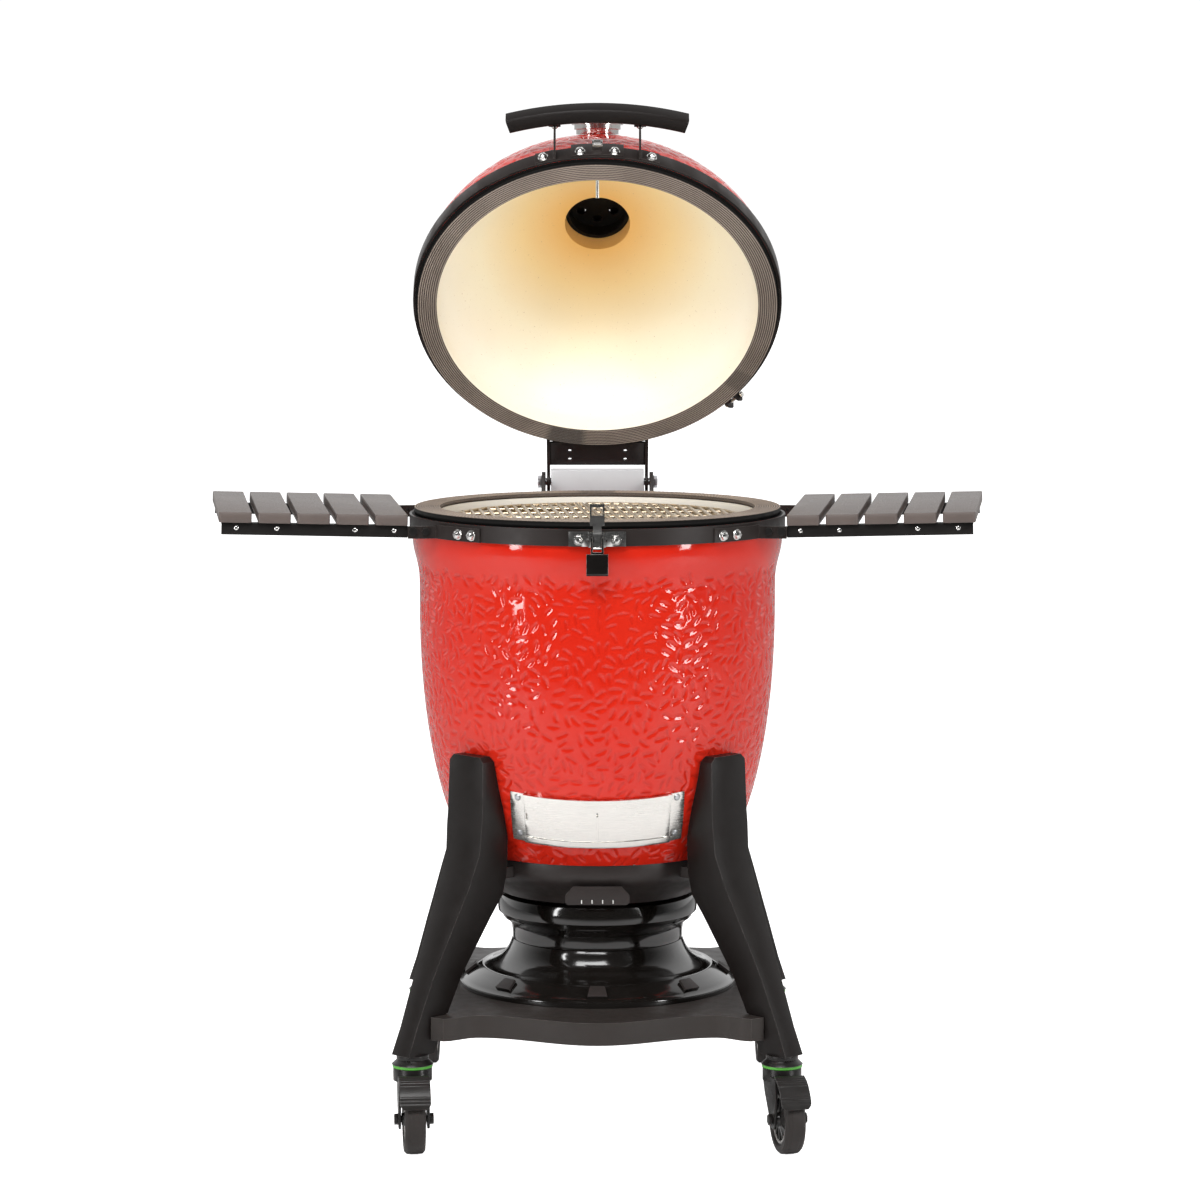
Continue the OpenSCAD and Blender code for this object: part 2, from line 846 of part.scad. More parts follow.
module legs() {
    color(coal) on_floor() four_corners() difference() {
        leg();
        leg_clearance();
    }
}

// Keeps the leg off the bowl, the collar's lug and the lower shelf
module leg_clearance() {
    rotate_extrude() polygon(concat(
        [[0, foot_z - 3], [foot_r + 1, foot_z - 3]],
        [for (p = bowl_side) if (p[1] < leg_top + 60) [p[0] + 0.6, p[1]]],
        [[0, leg_top + 40]]
    ));
    translate([-24, -collar_joint_r, 380]) cube([48, 40, 34]);
    translate([-60, -shelf_joint_r - 0.3, platform_z - platform_h - 1]) cube([120, 60, platform_h + 2]);
}

module leg_bolts() {
    color(zinc) on_floor() four_corners() {
        facing_out(shelf_joint_r - 3.2, platform_z - platform_h / 2) {
            translate([0, 0, -5]) cylinder(h = 5, r = 8, $fn = 6);
            cylinder(h = 26, r = 4);
        }
        facing_out(191, 402) {
            translate([0, 0, -5]) cylinder(h = 5, r = 7, $fn = 6);
            cylinder(h = 53, r = 4);
        }
    }
}

// Half of the lower shelf's front edge, from the middle to the corner by the leg
function platform_edge(x) =
    x < 178 ? 288 + 28 * cos(180 * x / 178)
    : 272.5 - 12.5 * cos(180 * (x - 178) / 50);

module platform_outline(inset) {
    n = 24;
    xs = [for (i = [0:n]) 228 * i / n];
    front = [for (x = xs) [x, -platform_edge(x)]];
    side = [[270, -262], [262, -235], [238, -190], [228, -130], [226, 0]];
    quarter = concat(front, side);
    full_right = concat(quarter, [for (p = reverse(quarter)) if (p[1] < 0) [p[0], -p[1]]]);
    full = concat(full_right, [for (p = reverse(full_right)) if (p[0] > 0) [-p[0], p[1]]]);
    k = 1 - inset / 265;
    polygon([for (p = full) [p[0] * k, p[1] * k]]);
}

module lower_shelf() {
    color(satin) on_floor() difference() {
        translate([0, 0, platform_z - platform_h]) linear_extrude(platform_h) platform_outline(0);
        difference() {
            translate([0, 0, platform_z - platform_h - 1]) linear_extrude(platform_h - 2)
                platform_outline(3.5);
            four_corners() translate([-45, -shelf_joint_r - 40, 100]) cube([90, 44, 200]);
        }
        four_corners() {
            translate([-20, -450, 100]) cube([40, 450 - shelf_joint_r, 200]);
            translate([-27, -shelf_joint_r + 3, platform_z - platform_h - 1]) cube([54, 30, platform_h - 2]);
            facing_out(shelf_joint_r - 30, platform_z - platform_h / 2) cylinder(h = 60, r = 4.2);
        }
    }
}

// Height of the green seal over each fork, and of the fork's top under it
seal_z = 131.6;
fork_top = seal_z - 1;

module caster_mounts() {
    color(coal) on_floor() for (c = caster_spots)
        translate([c[0] * caster_at, c[1] * caster_at, 0]) {
            translate([0, 0, 144]) cylinder(h = 5.8, r = 24);
            translate([0, 0, seal_z + 4.4]) cylinder(h = 144.2 - seal_z - 4.4, r1 = 31, r2 = 22);
            translate([0, 0, seal_z]) cylinder(h = 5, r = 20.7);
            translate([0, 0, axle_z + wheel_r + 2.5]) cylinder(h = 55, r = 6);
        }
}

module caster_seals() {
    color(green) on_floor() for (c = caster_spots)
        translate([c[0] * caster_at, c[1] * caster_at, seal_z])
            ring(21, 30, 0, 4.2);
}

// Swivel frame of one caster: outward along the trail is -Y
module caster(i) {
    c = caster_spots[i];
    on_floor() translate([c[0] * caster_at, c[1] * caster_at, 0]) rotate([0, 0, c[2]]) children();
}

// Draws an outline given in (y, z), from x0 over a thickness t
module side_plate(x0, t) {
    translate([x0, 0, 0]) rotate([90, 0, 90]) linear_extrude(t) children();
}

fork_deck = 112;
brake_pin = [-40, 118];

module fork(i) {
    color(coal) caster(i) {
        difference() {
            union() {
                translate([0, 0, fork_deck]) cylinder(h = fork_top - fork_deck, r = 29);
                translate([-23, -33, fork_deck]) cube([46, 33, 8]);
                for (x = [-23, 19.5]) side_plate(x, 3.5) polygon([
                    [-trail - 12, axle_z - 8], [-trail - 5, axle_z - 14], [-trail + 7, axle_z - 13],
                    [14, 92], [24, fork_deck], [22, 120], [-36, 121], [-44.5, 119],
                    [-44.5, fork_deck], [-trail - 16, 98]
                ]);
            }
            translate([0, 0, 100]) cylinder(h = 60, r = 6.05);
            axle_line() cylinder(h = 80, r = 5.05, center = true);
        }
        axle_line() {
            cylinder(h = 56, r = 5, center = true);
            for (z = [23.2, -29.2]) translate([0, 0, z]) cylinder(h = 6, r = 8.5, $fn = 6);
        }
        translate([-20, brake_pin[0], brake_pin[1]]) rotate([0, 90, 0]) cylinder(h = 40, r = 3);
    }
}

module axle_line() {
    translate([0, -trail, axle_z]) rotate([0, 90, 0]) children();
}

module wheel(i) {
    color(satin) caster(i) axle_line() rotate_extrude() polygon([
        [5.08, -18.6], [10, -18.6], [11, -wheel_w / 2 + 5], [wheel_r - 14, -wheel_w / 2 + 4],
        [wheel_r - 11, -wheel_w / 2], [wheel_r - 4, -wheel_w / 2], [wheel_r, -wheel_w / 2 + 5],
        [wheel_r, wheel_w / 2 - 5], [wheel_r - 4, wheel_w / 2], [wheel_r - 11, wheel_w / 2],
        [wheel_r - 14, wheel_w / 2 - 4], [11, wheel_w / 2 - 5], [10, 18.6], [5.08, 18.6]
    ]);
}

// The pedal arches over the wheel from its pin
module brake(i) {
    color(coal) caster(i) {
        side_plate(-23, 46) polygon([
            [-38, 126], [-56, 122], [-72, 109], [-81, 94], [-84, 84],
            [-79, 84], [-77, 92], [-68, 104], [-54, 116], [-40, 122.5]
        ]);
        for (x = [-16, 12]) side_plate(x, 4) difference() {
            union() {
                translate(brake_pin) circle(r = 5.5);
                polygon([[-36, 122], [-42, 124], [-56, 117], [-44, 114]]);
            }
            translate(brake_pin) circle(r = 3.05);
        }
    }
}

module front_left_fork() { fork(0); }
module front_right_fork() { fork(1); }
module rear_left_fork() { fork(2); }
module rear_right_fork() { fork(3); }
module front_left_wheel() { wheel(0); }
module front_right_wheel() { wheel(1); }
module rear_left_wheel() { wheel(2); }
module rear_right_wheel() { wheel(3); }
module front_left_brake() { brake(0); }
module front_right_brake() { brake(1); }

// Dome, drawn closed

module dome_shell() {
    outer = dome_curve(rim_r, dome_rise, dome_top, chimney_r, 20);
    inner = dome_curve(gasket_in + 3, dome_rise - wall - 7, dome_top, chimney_r, 18);
    color(red) opened() difference() {
        rotate_extrude() polygon(concat(
            [[gasket_in + 0.6, dome_rim_z + 3 + play], [gasket_out - 3 - play, dome_rim_z + 3 + play]],
            [[gasket_out - 3 - play, dome_lip_z], [rim_r, dome_lip_z]],
            outer,
            reverse(inner)
        ));
        gauge_frame() translate([0, 0, -80]) cylinder(h = 160, r = 5);
    }
}

module dome_gasket() {
    color(mesh_grey) opened() rotate_extrude() polygon([
        [gasket_in, dome_rim_z], [gasket_out, dome_rim_z], [gasket_out, dome_lip_z - play],
        [gasket_out - 3, dome_lip_z - play], [gasket_out - 3, dome_rim_z + 3],
        [gasket_in, dome_rim_z + 3]
    ]);
}

catch_bolt_a = 5.15;
bracket_bolt_a = 16.4;
arm_bolt_a = [169.5, 190.5];

// Every bolt place on the dome's band, drawn at radius r
module dome_bolt_spots(r) {
    for (a = [-catch_bolt_a, catch_bolt_a, -bracket_bolt_a, bracket_bolt_a])
        at_angle(a) facing_out(r, dome_bolt_z) children();
    for (a = arm_bolt_a)
        at_angle(a) facing_out(r, arm_bolt_z) children();
}

module dome_bolt_holes() {
    dome_bolt_spots(band_in) bolt_hole(12);
}

module dome_band() {
    color(coal) opened() difference() {
        clamped_band(dome_lip_z, dome_clamp_a);
        dome_bolt_holes();
        clamp_hole(dome_lip_z, dome_clamp_a);
    }
}

module dome_bolts() {
    shank = plate_out - band_in - 0.2;
    color(steel) opened() {
        dome_bolt_spots(plate_out) dome_nut(shank);
        clamp_bolt(dome_lip_z, dome_clamp_a);
        for (x = [-64.5, 64.5]) translate([x, -316, 996]) rotate([90, 0, 0]) {
            translate([0, 0, -4]) cylinder(h = 4, r = 6, $fn = 6);
            cylinder(h = 15, r = 3);
        }
    }
}

module dome_catch() {
    half = asin(40 / plate_out);
    color(steel) opened() difference() {
        union() {
            ring_block(plate_in, plate_out, dome_lip_z + 0.3, 984, -half, half);
            translate([-7.5, -301, 966]) cube([15, 12, 3]);
            translate([-7.5, -303, 966]) cube([15, 2.5, 9]);
        }
        dome_bolt_holes();
        ring(0, plate_in, 950, 990);
    }
}

handle_plan_r = 489.5;
handle_plan_y = 139.5;
handle_depth = 24.5;
handle_half = 16.44;

module handle_arc(profile_points, half) {
    translate([0, handle_plan_y, 0]) rotate([0, 0, -half - 90])
        rotate_extrude(angle = 2 * half) polygon(profile_points);
}

module handle() {
    r1 = handle_plan_r;
    r0 = handle_plan_r - handle_depth;
    color(coal) opened() difference() {
        handle_arc([
            [r0 + 3, 984], [r1 - 3, 984], [r1, 987], [r1, 1005], [r1 - 3, 1008],
            [r0 + 3, 1008], [r0, 1005], [r0, 987]
        ], handle_half);
        handle_arc([[r0 - 1, 989], [r0 + 9, 989], [r0 + 9, 1003], [r0 - 1, 1003]], 10);
        for (x = [-64.5, 64.5])
            translate([x, -310, 996]) rotate([90, 0, 0]) cylinder(h = 25, r = 3.2);
    }
}

module handle_brackets() {
    plate_a = asin(64.5 / plate_in);
    color(coal) opened() for (s = [-1, 1]) difference() {
        union() {
            translate([s * 64.5 - 1.5, -319, 957]) cube([3, 46, 21]);
            translate([s * 64.5 - 1.5, -319, 970]) cube([3, 28, 32]);
            translate([s * 64.5 - 9, -319, 990]) cube([18, 3, 12]);
            ring_block(plate_in, plate_out, dome_lip_z + 0.3, 978, s > 0 ? 12.6 : -19, s > 0 ? 19 : -12.6);
        }
        dome_bolt_holes();
        ring(0, plate_in, 950, 979);
        ring(0, 284, 979, 1010);
        translate([s * 64.5, -330, 996]) rotate([-90, 0, 0]) cylinder(h = 30, r = 3.2);
        translate([s * 64.5, -311, 996]) rotate([90, 0, 0]) cylinder(h = 5, r = 6.8);
    }
}

// Thermometer: local z runs out along the gauge's axis, z = 0 on the glaze
module gauge_frame() {
    translate([0, -dome_r(gauge_z), gauge_z]) rotate([90 - gauge_tilt, 0, 0]) children();
}

module thermometer_case() {
    color(steel) opened() gauge_frame() {
        rotate_extrude() polygon([
            [0, 1.4], [33, 1.4], [33, 8], [36, 9], [36, 16], [40, 16], [40, 21], [36, 22],
            [34.5, 20], [34.5, 11], [0, 11]
        ]);
        translate([0, 0, -97]) cylinder(h = 100, r = 3);
        translate([0, 0, -40]) cylinder(h = 6, r = 9, $fn = 6);
    }
}

module thermometer_dial() {
    color("white") opened() gauge_frame() translate([0, 0, 11.1]) difference() {
        cylinder(h = 1.5, r = 34);
        translate([0, 0, -1]) cylinder(h = 4, r = 2);
    }
}

module thermometer_needle() {
    color("black") opened() gauge_frame() translate([0, 0, 13.2]) {
        cylinder(h = 2, r = 3.4);
        rotate([0, 0, 225]) translate([-0.8, -6, 0.4]) cube([1.6, 33, 0.8]);
        translate([0, 0, -1.9]) cylinder(h = 2, r = 1.9);
    }
}

// Six air holes in a ring, the first one at angle a
module vent_holes(a, z0) {
    for (i = [0:5]) rotate([0, 0, a + 60 * i])
        translate([30, 0, z0]) cylinder(h = 30, r = 7.5);
}

// The vent's body, with a fixed plate whose holes the dial covers when it is closed
module vent_base() {
    z0 = dome_top + dome_rise;
    lip = dome_z(chimney_r) + play;
    edge = dome_z(chimney_r + 16) + play;
    color(coal) opened() {
        rotate_extrude() polygon([
            [chimney_r - 6, z0 - 12], [chimney_r - 0.6, z0 - 12], [chimney_r - 0.6, lip],
            [chimney_r + 16, edge], [chimney_r + 14, edge + 5], [chimney_r + 2, z0 + 4],
            [chimney_r + 1, z0 + 24], [chimney_r - 6, z0 + 24]
        ]);
        difference() {
            translate([0, 0, z0 + 12]) cylinder(h = 5, r = chimney_r - 2);
            vent_holes(30, z0 + 10);
        }
        translate([0, 0, z0 + 12]) cylinder(h = 20, r = 5);
    }
}

module vent_dial() {
    z0 = dome_top + dome_rise + 24.3;
    color(coal) opened() difference() {
        rotate_extrude() polygon([
            [5.05, z0], [chimney_r + 1, z0], [chimney_r + 1, z0 + 4], [chimney_r - 8, z0 + 10],
            [14, z0 + 14], [5.05, z0 + 14]
        ]);
        vent_holes(0, z0 - 1);
    }
}

base_shell();
base_gasket();
base_band();
hinge_bracket();
hinge_pin();
hinge_springs();
spring_cover();
latch_plate();
band_bolts();
shelf_brackets();
shelf_pivots();
draft_frame();
draft_screws();
firebox();
fire_ring();
charcoal_grate();
cooking_rack();
collar();
scale_plate();
ash_skirt();
skirt_clips();
lower_shelf();
legs();
leg_bolts();
caster_mounts();
caster_seals();
air_bell();
draft_door();
dome_shell();
dome_gasket();
dome_band();
dome_bolts();
hinge_arm();
handle();
handle_brackets();
dome_catch();
thermometer_case();
thermometer_dial();
thermometer_needle();
vent_base();
vent_dial();
latch_lever();
latch_bail();
left_shelf_rails();
left_shelf_slats();
right_shelf_rails();
right_shelf_slats();
left_grate();
right_grate();
front_left_fork();
front_right_fork();
rear_left_fork();
rear_right_fork();
front_left_wheel();
front_right_wheel();
rear_left_wheel();
rear_right_wheel();
front_left_brake();
front_right_brake();
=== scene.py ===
"""Looks of the kamado ceramic grill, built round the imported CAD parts.

Pieces are drawn in millimetres round the bowl's axis, with heights counted from the CAD's
datum, and place() turns them into the row frame. Dome pieces are drawn closed.
"""
import math

import bmesh
import bpy
import numpy as np
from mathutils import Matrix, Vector


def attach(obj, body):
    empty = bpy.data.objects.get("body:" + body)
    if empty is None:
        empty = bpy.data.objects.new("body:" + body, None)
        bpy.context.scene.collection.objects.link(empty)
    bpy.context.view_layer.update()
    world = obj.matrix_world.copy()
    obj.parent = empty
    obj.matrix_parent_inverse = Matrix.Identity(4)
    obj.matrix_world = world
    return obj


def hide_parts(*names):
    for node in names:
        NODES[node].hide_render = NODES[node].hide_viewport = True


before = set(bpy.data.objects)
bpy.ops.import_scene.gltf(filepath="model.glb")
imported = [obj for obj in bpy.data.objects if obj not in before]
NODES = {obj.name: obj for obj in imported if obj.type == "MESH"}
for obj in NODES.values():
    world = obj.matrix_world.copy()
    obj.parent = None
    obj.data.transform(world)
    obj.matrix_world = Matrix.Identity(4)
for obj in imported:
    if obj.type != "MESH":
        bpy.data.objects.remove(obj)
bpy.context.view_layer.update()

# ---------------------------------------------------------------- placing

SET_FORWARD, FLOOR_Z = 20.4, 7.0
PIN_Y, PIN_Z = 363.0, 950.0
OPEN = math.radians(53.1)
RIM_R, DOME_TOP, DOME_RISE = 283.0, 980.2, 220.0


def place(points, opened=False):
    """Millimetres round the bowl's axis to metres in the row frame."""
    p = np.array(points, float).reshape(-1, 3)
    if opened:
        y, z = p[:, 1] - PIN_Y, p[:, 2] - PIN_Z
        p[:, 1] = PIN_Y + y * math.cos(OPEN) + z * math.sin(OPEN)
        p[:, 2] = PIN_Z - y * math.sin(OPEN) + z * math.cos(OPEN)
    p[:, 1] -= SET_FORWARD
    p[:, 2] -= FLOOR_Z
    return p / 1000


def piece(name, points, faces, body, material, opened=False, replaces=(), smooth=35):
    """A mesh piece riding on a body. smooth is the angle under which edges look smooth."""
    mesh = bpy.data.meshes.new(name)
    mesh.from_pydata(place(points, opened).tolist(), [], [list(f) for f in faces])
    bm = bmesh.new()
    bm.from_mesh(mesh)
    bmesh.ops.remove_doubles(bm, verts=bm.verts, dist=1e-6)
    bmesh.ops.recalc_face_normals(bm, faces=bm.faces)
    bm.to_mesh(mesh)
    bm.free()
    mesh.polygons.foreach_set("use_smooth", [True] * len(mesh.polygons))
    if smooth:
        mesh.set_sharp_from_angle(angle=math.radians(smooth))
    o = bpy.data.objects.new(name, mesh)
    bpy.context.scene.collection.objects.link(o)
    o.data.materials.append(material)
    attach(o, body)
    if replaces:
        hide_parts(*replaces)
    return o


def paint(o, material, faces):
    """A second material on a range of a piece's faces."""
    o.data.materials.append(material)
    for i in faces:
        o.data.polygons[i].material_index = 1


def grid_faces(rows, columns, wrap=True):
    i = np.arange(rows - 1)[:, None] * columns
    j = np.arange(columns if wrap else columns - 1)[None, :]
    k = (j + 1) % columns
    return np.stack([i + j, i + k, i + columns + k, i + columns + j], -1).reshape(-1, 4)


def lathe(profile, turns):
    """Points and faces of a profile of (radius, height) turned about the bowl's axis, from the front."""
    a = 2 * math.pi * np.arange(turns) / turns
    r, z = np.array(profile, float).T
    points = np.stack([
        r[:, None] * np.sin(a), -r[:, None] * np.cos(a), z[:, None] + 0 * a
    ], -1)
    return points.reshape(-1, 3), grid_faces(len(r), turns)


def turn_z(points, degrees):
    a = math.radians(degrees)
    p = np.array(points, float)
    return np.stack([
        p[:, 0] * math.cos(a) - p[:, 1] * math.sin(a),
        p[:, 0] * math.sin(a) + p[:, 1] * math.cos(a), p[:, 2]
    ], -1)


class Build:
    """Collects parts of one piece."""

    def __init__(self):
        self.points, self.faces, self.count = [], [], 0

    def add(self, points, faces):
        points = np.array(points, float).reshape(-1, 3)
        self.points.append(points)
        self.faces += [[int(i) + self.count for i in f] for f in faces]
        self.count += len(points)
        return self

    def box(self, lo, hi, bevel):
        """A box with bevelled edges."""
        bm = bmesh.new()
        bmesh.ops.create_cube(bm, size=1)
        size = [h - l for l, h in zip(lo, hi)]
        for v in bm.verts:
            v.co = Vector([l + (c + 0.5) * s for l, c, s in zip(lo, v.co, size)])
        bmesh.ops.bevel(bm, geom=bm.edges[:], offset=bevel, segments=2, affect="EDGES", profile=0.5)
        bm.verts.index_update()
        points = [v.co[:] for v in bm.verts]
        faces = [[v.index for v in f.verts] for f in bm.faces]
        bm.free()
        return self.add(points, faces)

    def tube(self, path, radius, sides=10, closed=False):
        """A round wire along a path."""
        path = np.array(path, float)
        n = len(path)
        if closed:
            tangent = np.roll(path, -1, 0) - np.roll(path, 1, 0)
        else:
            tangent = np.gradient(path, axis=0)
        tangent /= np.linalg.norm(tangent, axis=1)[:, None]
        up = np.array([0.0, 0.0, 1.0])
        if abs(tangent[:, 2]).max() > 0.95:
            up = np.array([1.0, 0.0, 0.0]) if abs(tangent[:, 0]).max() < 0.95 else np.array([0.31, 0.9, 0.2])
        side = np.cross(tangent, up)
        side /= np.linalg.norm(side, axis=1)[:, None]
        top = np.cross(side, tangent)
        a = 2 * math.pi * np.arange(sides) / sides
        ring = side[:, None] * np.cos(a)[None, :, None] + top[:, None] * np.sin(a)[None, :, None]
        points = path[:, None] + radius * ring
        faces = [list(f) for f in grid_faces(n, sides)]
        if closed:
            last, j = (n - 1) * sides, np.arange(sides)
            faces += [[last + i, last + (i + 1) % sides, (i + 1) % sides, i] for i in j]
        else:
            faces += [list(range(sides))[::-1], list(range((n - 1) * sides, n * sides))]
        return self.add(points, faces)

    def revolve(self, profile, centre, axis, turns=24):
        """A profile of (radius, distance along the axis) turned about an axis through centre."""
        axis = np.array(axis, float) / np.linalg.norm(axis)
        ref = np.array([0, 0, 1.0]) if abs(axis[2]) < 0.9 else np.array([1.0, 0, 0])
        u = np.cross(axis, ref)
        u /= np.linalg.norm(u)
        v = np.cross(axis, u)
        a = 2 * math.pi * np.arange(turns) / turns
        around = u * np.cos(a)[:, None] + v * np.sin(a)[:, None]
        r, h = np.array(profile, float).T
        points = np.array(centre, float) + r[:, None, None] * around + h[:, None, None] * axis
        faces = [list(f) for f in grid_faces(len(r), turns)]
        return self.add(points, faces)


# ---------------------------------------------------------------- materials

def shader(name):
    m = bpy.data.materials.new(name)
    m.use_nodes = True
    return m, m.node_tree.nodes, m.node_tree.links


def noise(nodes, links, scale, detail=3.0, stretch=None):
    where = nodes.new("ShaderNodeTexCoord")
    out = where.outputs["Object"]
    if stretch:
        mapping = nodes.new("ShaderNodeMapping")
        mapping.inputs["Scale"].default_value = stretch
        links.new(out, mapping.inputs["Vector"])
        out = mapping.outputs["Vector"]
    n = nodes.new("ShaderNodeTexNoise")
    n.inputs["Scale"].default_value = scale
    n.inputs["Detail"].default_value = detail
    links.new(out, n.inputs["Vector"])
    return n.outputs["Fac"]


def ramp(nodes, links, value, stops):
    r = nodes.new("ShaderNodeValToRGB")
    e = r.color_ramp.elements
    while len(e) < len(stops):
        e.new(0.5)
    for k, (at, colour) in enumerate(stops):
        e[k].position = at
        e[k].color = (*colour, 1) if len(colour) == 3 else colour
    links.new(value, r.inputs["Fac"])
    return r.outputs["Color"]


def mix(nodes, links, factor, a, b, mode="MIX"):
    m = nodes.new("ShaderNodeMix")
    m.data_type = "RGBA"
    m.blend_type = mode
    for socket, value in ((m.inputs[0], factor), (m.inputs[6], a), (m.inputs[7], b)):
        if hasattr(value, "is_output"):
            links.new(value, socket)
        elif isinstance(value, (int, float)):
            socket.default_value = value
        else:
            socket.default_value = (*value, 1)
    return m.outputs[2]


def grey(value):
    return (value, value, value)


def bump(nodes, links, height, strength, distance):
    b = nodes.new("ShaderNodeBump")
    b.inputs["Strength"].default_value = strength
    b.inputs["Distance"].default_value = distance
    links.new(height, b.inputs["Height"])
    return b.outputs["Normal"]


def edge_mask(nodes, links, radius=0.0009):
    """White along the edges of a shape, whatever its mesh."""
    soft, plain = nodes.new("ShaderNodeBevel"), nodes.new("ShaderNodeNewGeometry")
    soft.samples = 4
    soft.inputs["Radius"].default_value = radius
    dot = nodes.new("ShaderNodeVectorMath")
    dot.operation = "DOT_PRODUCT"
    links.new(soft.outputs["Normal"], dot.inputs[0])
    links.new(plain.outputs["Normal"], dot.inputs[1])
    return ramp(nodes, links, dot.outputs["Value"], [(0.84, grey(1.0)), (0.97, grey(0.0))])


def finish_of(name, colour, rough, metal=0.0, vary=0.12, fine=900, coarse=14, grain=0.15, depth=0.0002,
              edge_wear_and_glint=None, coat=0.0, stretch=None, rough_vary=0.08, ior=None):
    """A surface with large and fine colour variation, uneven gloss, a fine bump and lighter edges: worn paint, and
    where the edge colour is near white, partly a painted highlight.
    """
    m, nodes, links = shader(name)
    b = nodes["Principled BSDF"]
    big = noise(nodes, links, coarse, 4.0)
    small = noise(nodes, links, fine, 2.0, stretch)
    lo = [max(0, c * (1 - vary)) for c in colour]
    hi = [min(1, c * (1 + vary)) for c in colour]
    tone = ramp(nodes, links, big, [(0.3, lo), (0.7, hi)])
    tone = mix(nodes, links, 0.25, tone, ramp(nodes, links, small, [(0.3, lo), (0.7, hi)]))
    # lighter edges: worn paint; where the edge colour is near white, as on the latch, it is partly a painted highlight
    if edge_wear_and_glint:
        patchy = ramp(nodes, links, noise(nodes, links, 60, 4.0), [(0.35, grey(0.15)), (0.65, grey(0.8))])
        edge = mix(nodes, links, 1.0, edge_mask(nodes, links), patchy, "MULTIPLY")
        tone = mix(nodes, links, edge, tone, edge_wear_and_glint)
    links.new(tone, b.inputs["Base Color"])
    gloss = ramp(nodes, links, small if stretch else noise(nodes, links, 45, 5.0),
                 [(0.25, grey(max(0.02, rough - rough_vary))), (0.75, grey(min(1, rough + rough_vary)))])
    links.new(gloss, b.inputs["Roughness"])
    b.inputs["Metallic"].default_value = metal
    b.inputs["Coat Weight"].default_value = coat
    b.inputs["Coat Roughness"].default_value = 0.08
    if ior:
        b.inputs["IOR"].default_value = ior
    links.new(bump(nodes, links, small, grain, depth), b.inputs["Normal"])
    return m


def make_glaze():
    m, nodes, links = shader("red_glaze")
    b = nodes["Principled BSDF"]
    pools = noise(nodes, links, 9, 4.0)
    tone = ramp(nodes, links, pools, [(0.3, (0.64, 0.017, 0.006)), (0.7, (0.68, 0.025, 0.010))])
    # painted shade: the glaze turns darker red where the surface is hollow, in the pressed grains and creases
    low = nodes.new("ShaderNodeNewGeometry").outputs["Pointiness"]
    low = ramp(nodes, links, low, [(0.44, grey(0.8)), (0.5, grey(0.0))])
    tone = mix(nodes, links, low, tone, (0.43, 0.010, 0.004))
    specks = noise(nodes, links, 1400, 1.0)
    tone = mix(nodes, links, ramp(nodes, links, specks, [(0.72, grey(0.0)), (0.8, grey(0.35))]), tone, (0.35, 0.01, 0.01))
    links.new(tone, b.inputs["Base Color"])
    links.new(ramp(nodes, links, noise(nodes, links, 30, 4.0), [(0.3, grey(0.05)), (0.7, grey(0.10))]), b.inputs["Roughness"])
    orange_peel = noise(nodes, links, 130, 2.0)
    links.new(bump(nodes, links, orange_peel, 0.10, 0.0010), b.inputs["Normal"])
    return m


VENT_MOUTH = (0.0, 0.292, 1.359)


def make_cream():
    m, nodes, links = shader("cream_ceramic")
    b = nodes["Principled BSDF"]
    where = nodes.new("ShaderNodeTexCoord")
    far = nodes.new("ShaderNodeVectorMath")
    far.operation = "DISTANCE"
    links.new(where.outputs["Object"], far.inputs[0])
    far.inputs[1].default_value = VENT_MOUTH
    tone = ramp(nodes, links, far.outputs["Value"],
                [(0.05, (0.92, 0.52, 0.15)), (0.12, (0.96, 0.72, 0.36)), (0.20, (0.97, 0.88, 0.66)), (0.28, (0.95, 0.90, 0.78)),
                 (0.42, (0.80, 0.76, 0.68))])
    smoke = noise(nodes, links, 7, 5.0)
    tone = mix(nodes, links, ramp(nodes, links, smoke, [(0.45, grey(0.0)), (0.8, grey(0.12))]), tone, (0.86, 0.64, 0.40))
    specks = noise(nodes, links, 380, 2.0)
    tone = mix(nodes, links, ramp(nodes, links, specks, [(0.70, grey(0.0)), (0.76, grey(0.6))]), tone, (0.42, 0.26, 0.14))
    links.new(tone, b.inputs["Base Color"])
    links.new(ramp(nodes, links, smoke, [(0.3, grey(0.5)), (0.7, grey(0.68))]), b.inputs["Roughness"])
    links.new(bump(nodes, links, noise(nodes, links, 240, 4.0), 0.25, 0.0008), b.inputs["Normal"])
    return m


def make_gasket():
    m, nodes, links = shader("woven_gasket")
    b = nodes["Principled BSDF"]
    cord, splice = (nodes.new("ShaderNodeAttribute") for _ in range(2))
    cord.attribute_name, splice.attribute_name = "cord", "splice"
    # painted shade: the cord value is high on each cord's crown and low in the grooves between cords, so the grooves
    # are painted near black and the crowns keep the gasket's brown
    tone = ramp(nodes, links, cord.outputs["Fac"],
                [(0.25, (0.016, 0.011, 0.009)), (0.55, (0.16, 0.12, 0.096)), (0.9, (0.44, 0.36, 0.30))])
    patch = noise(nodes, links, 12, 4.0)
    tone = mix(nodes, links, ramp(nodes, links, patch, [(0.4, grey(0.0)), (0.7, grey(0.45))]), tone, (0.13, 0.10, 0.08))
    tone = mix(nodes, links, splice.outputs["Fac"], tone, (0.085, 0.072, 0.063))
    thread = noise(nodes, links, 1500, 2.0)
    tone = mix(nodes, links, ramp(nodes, links, thread, [(0.55, grey(0.0)), (0.7, grey(0.5))]), tone, (0.42, 0.37, 0.32))
    links.new(tone, b.inputs["Base Color"])
    b.inputs["Roughness"].default_value = 0.75
    b.inputs["Metallic"].default_value = 0.15
    links.new(bump(nodes, links, thread, 0.5, 0.0004), b.inputs["Normal"])
    return m


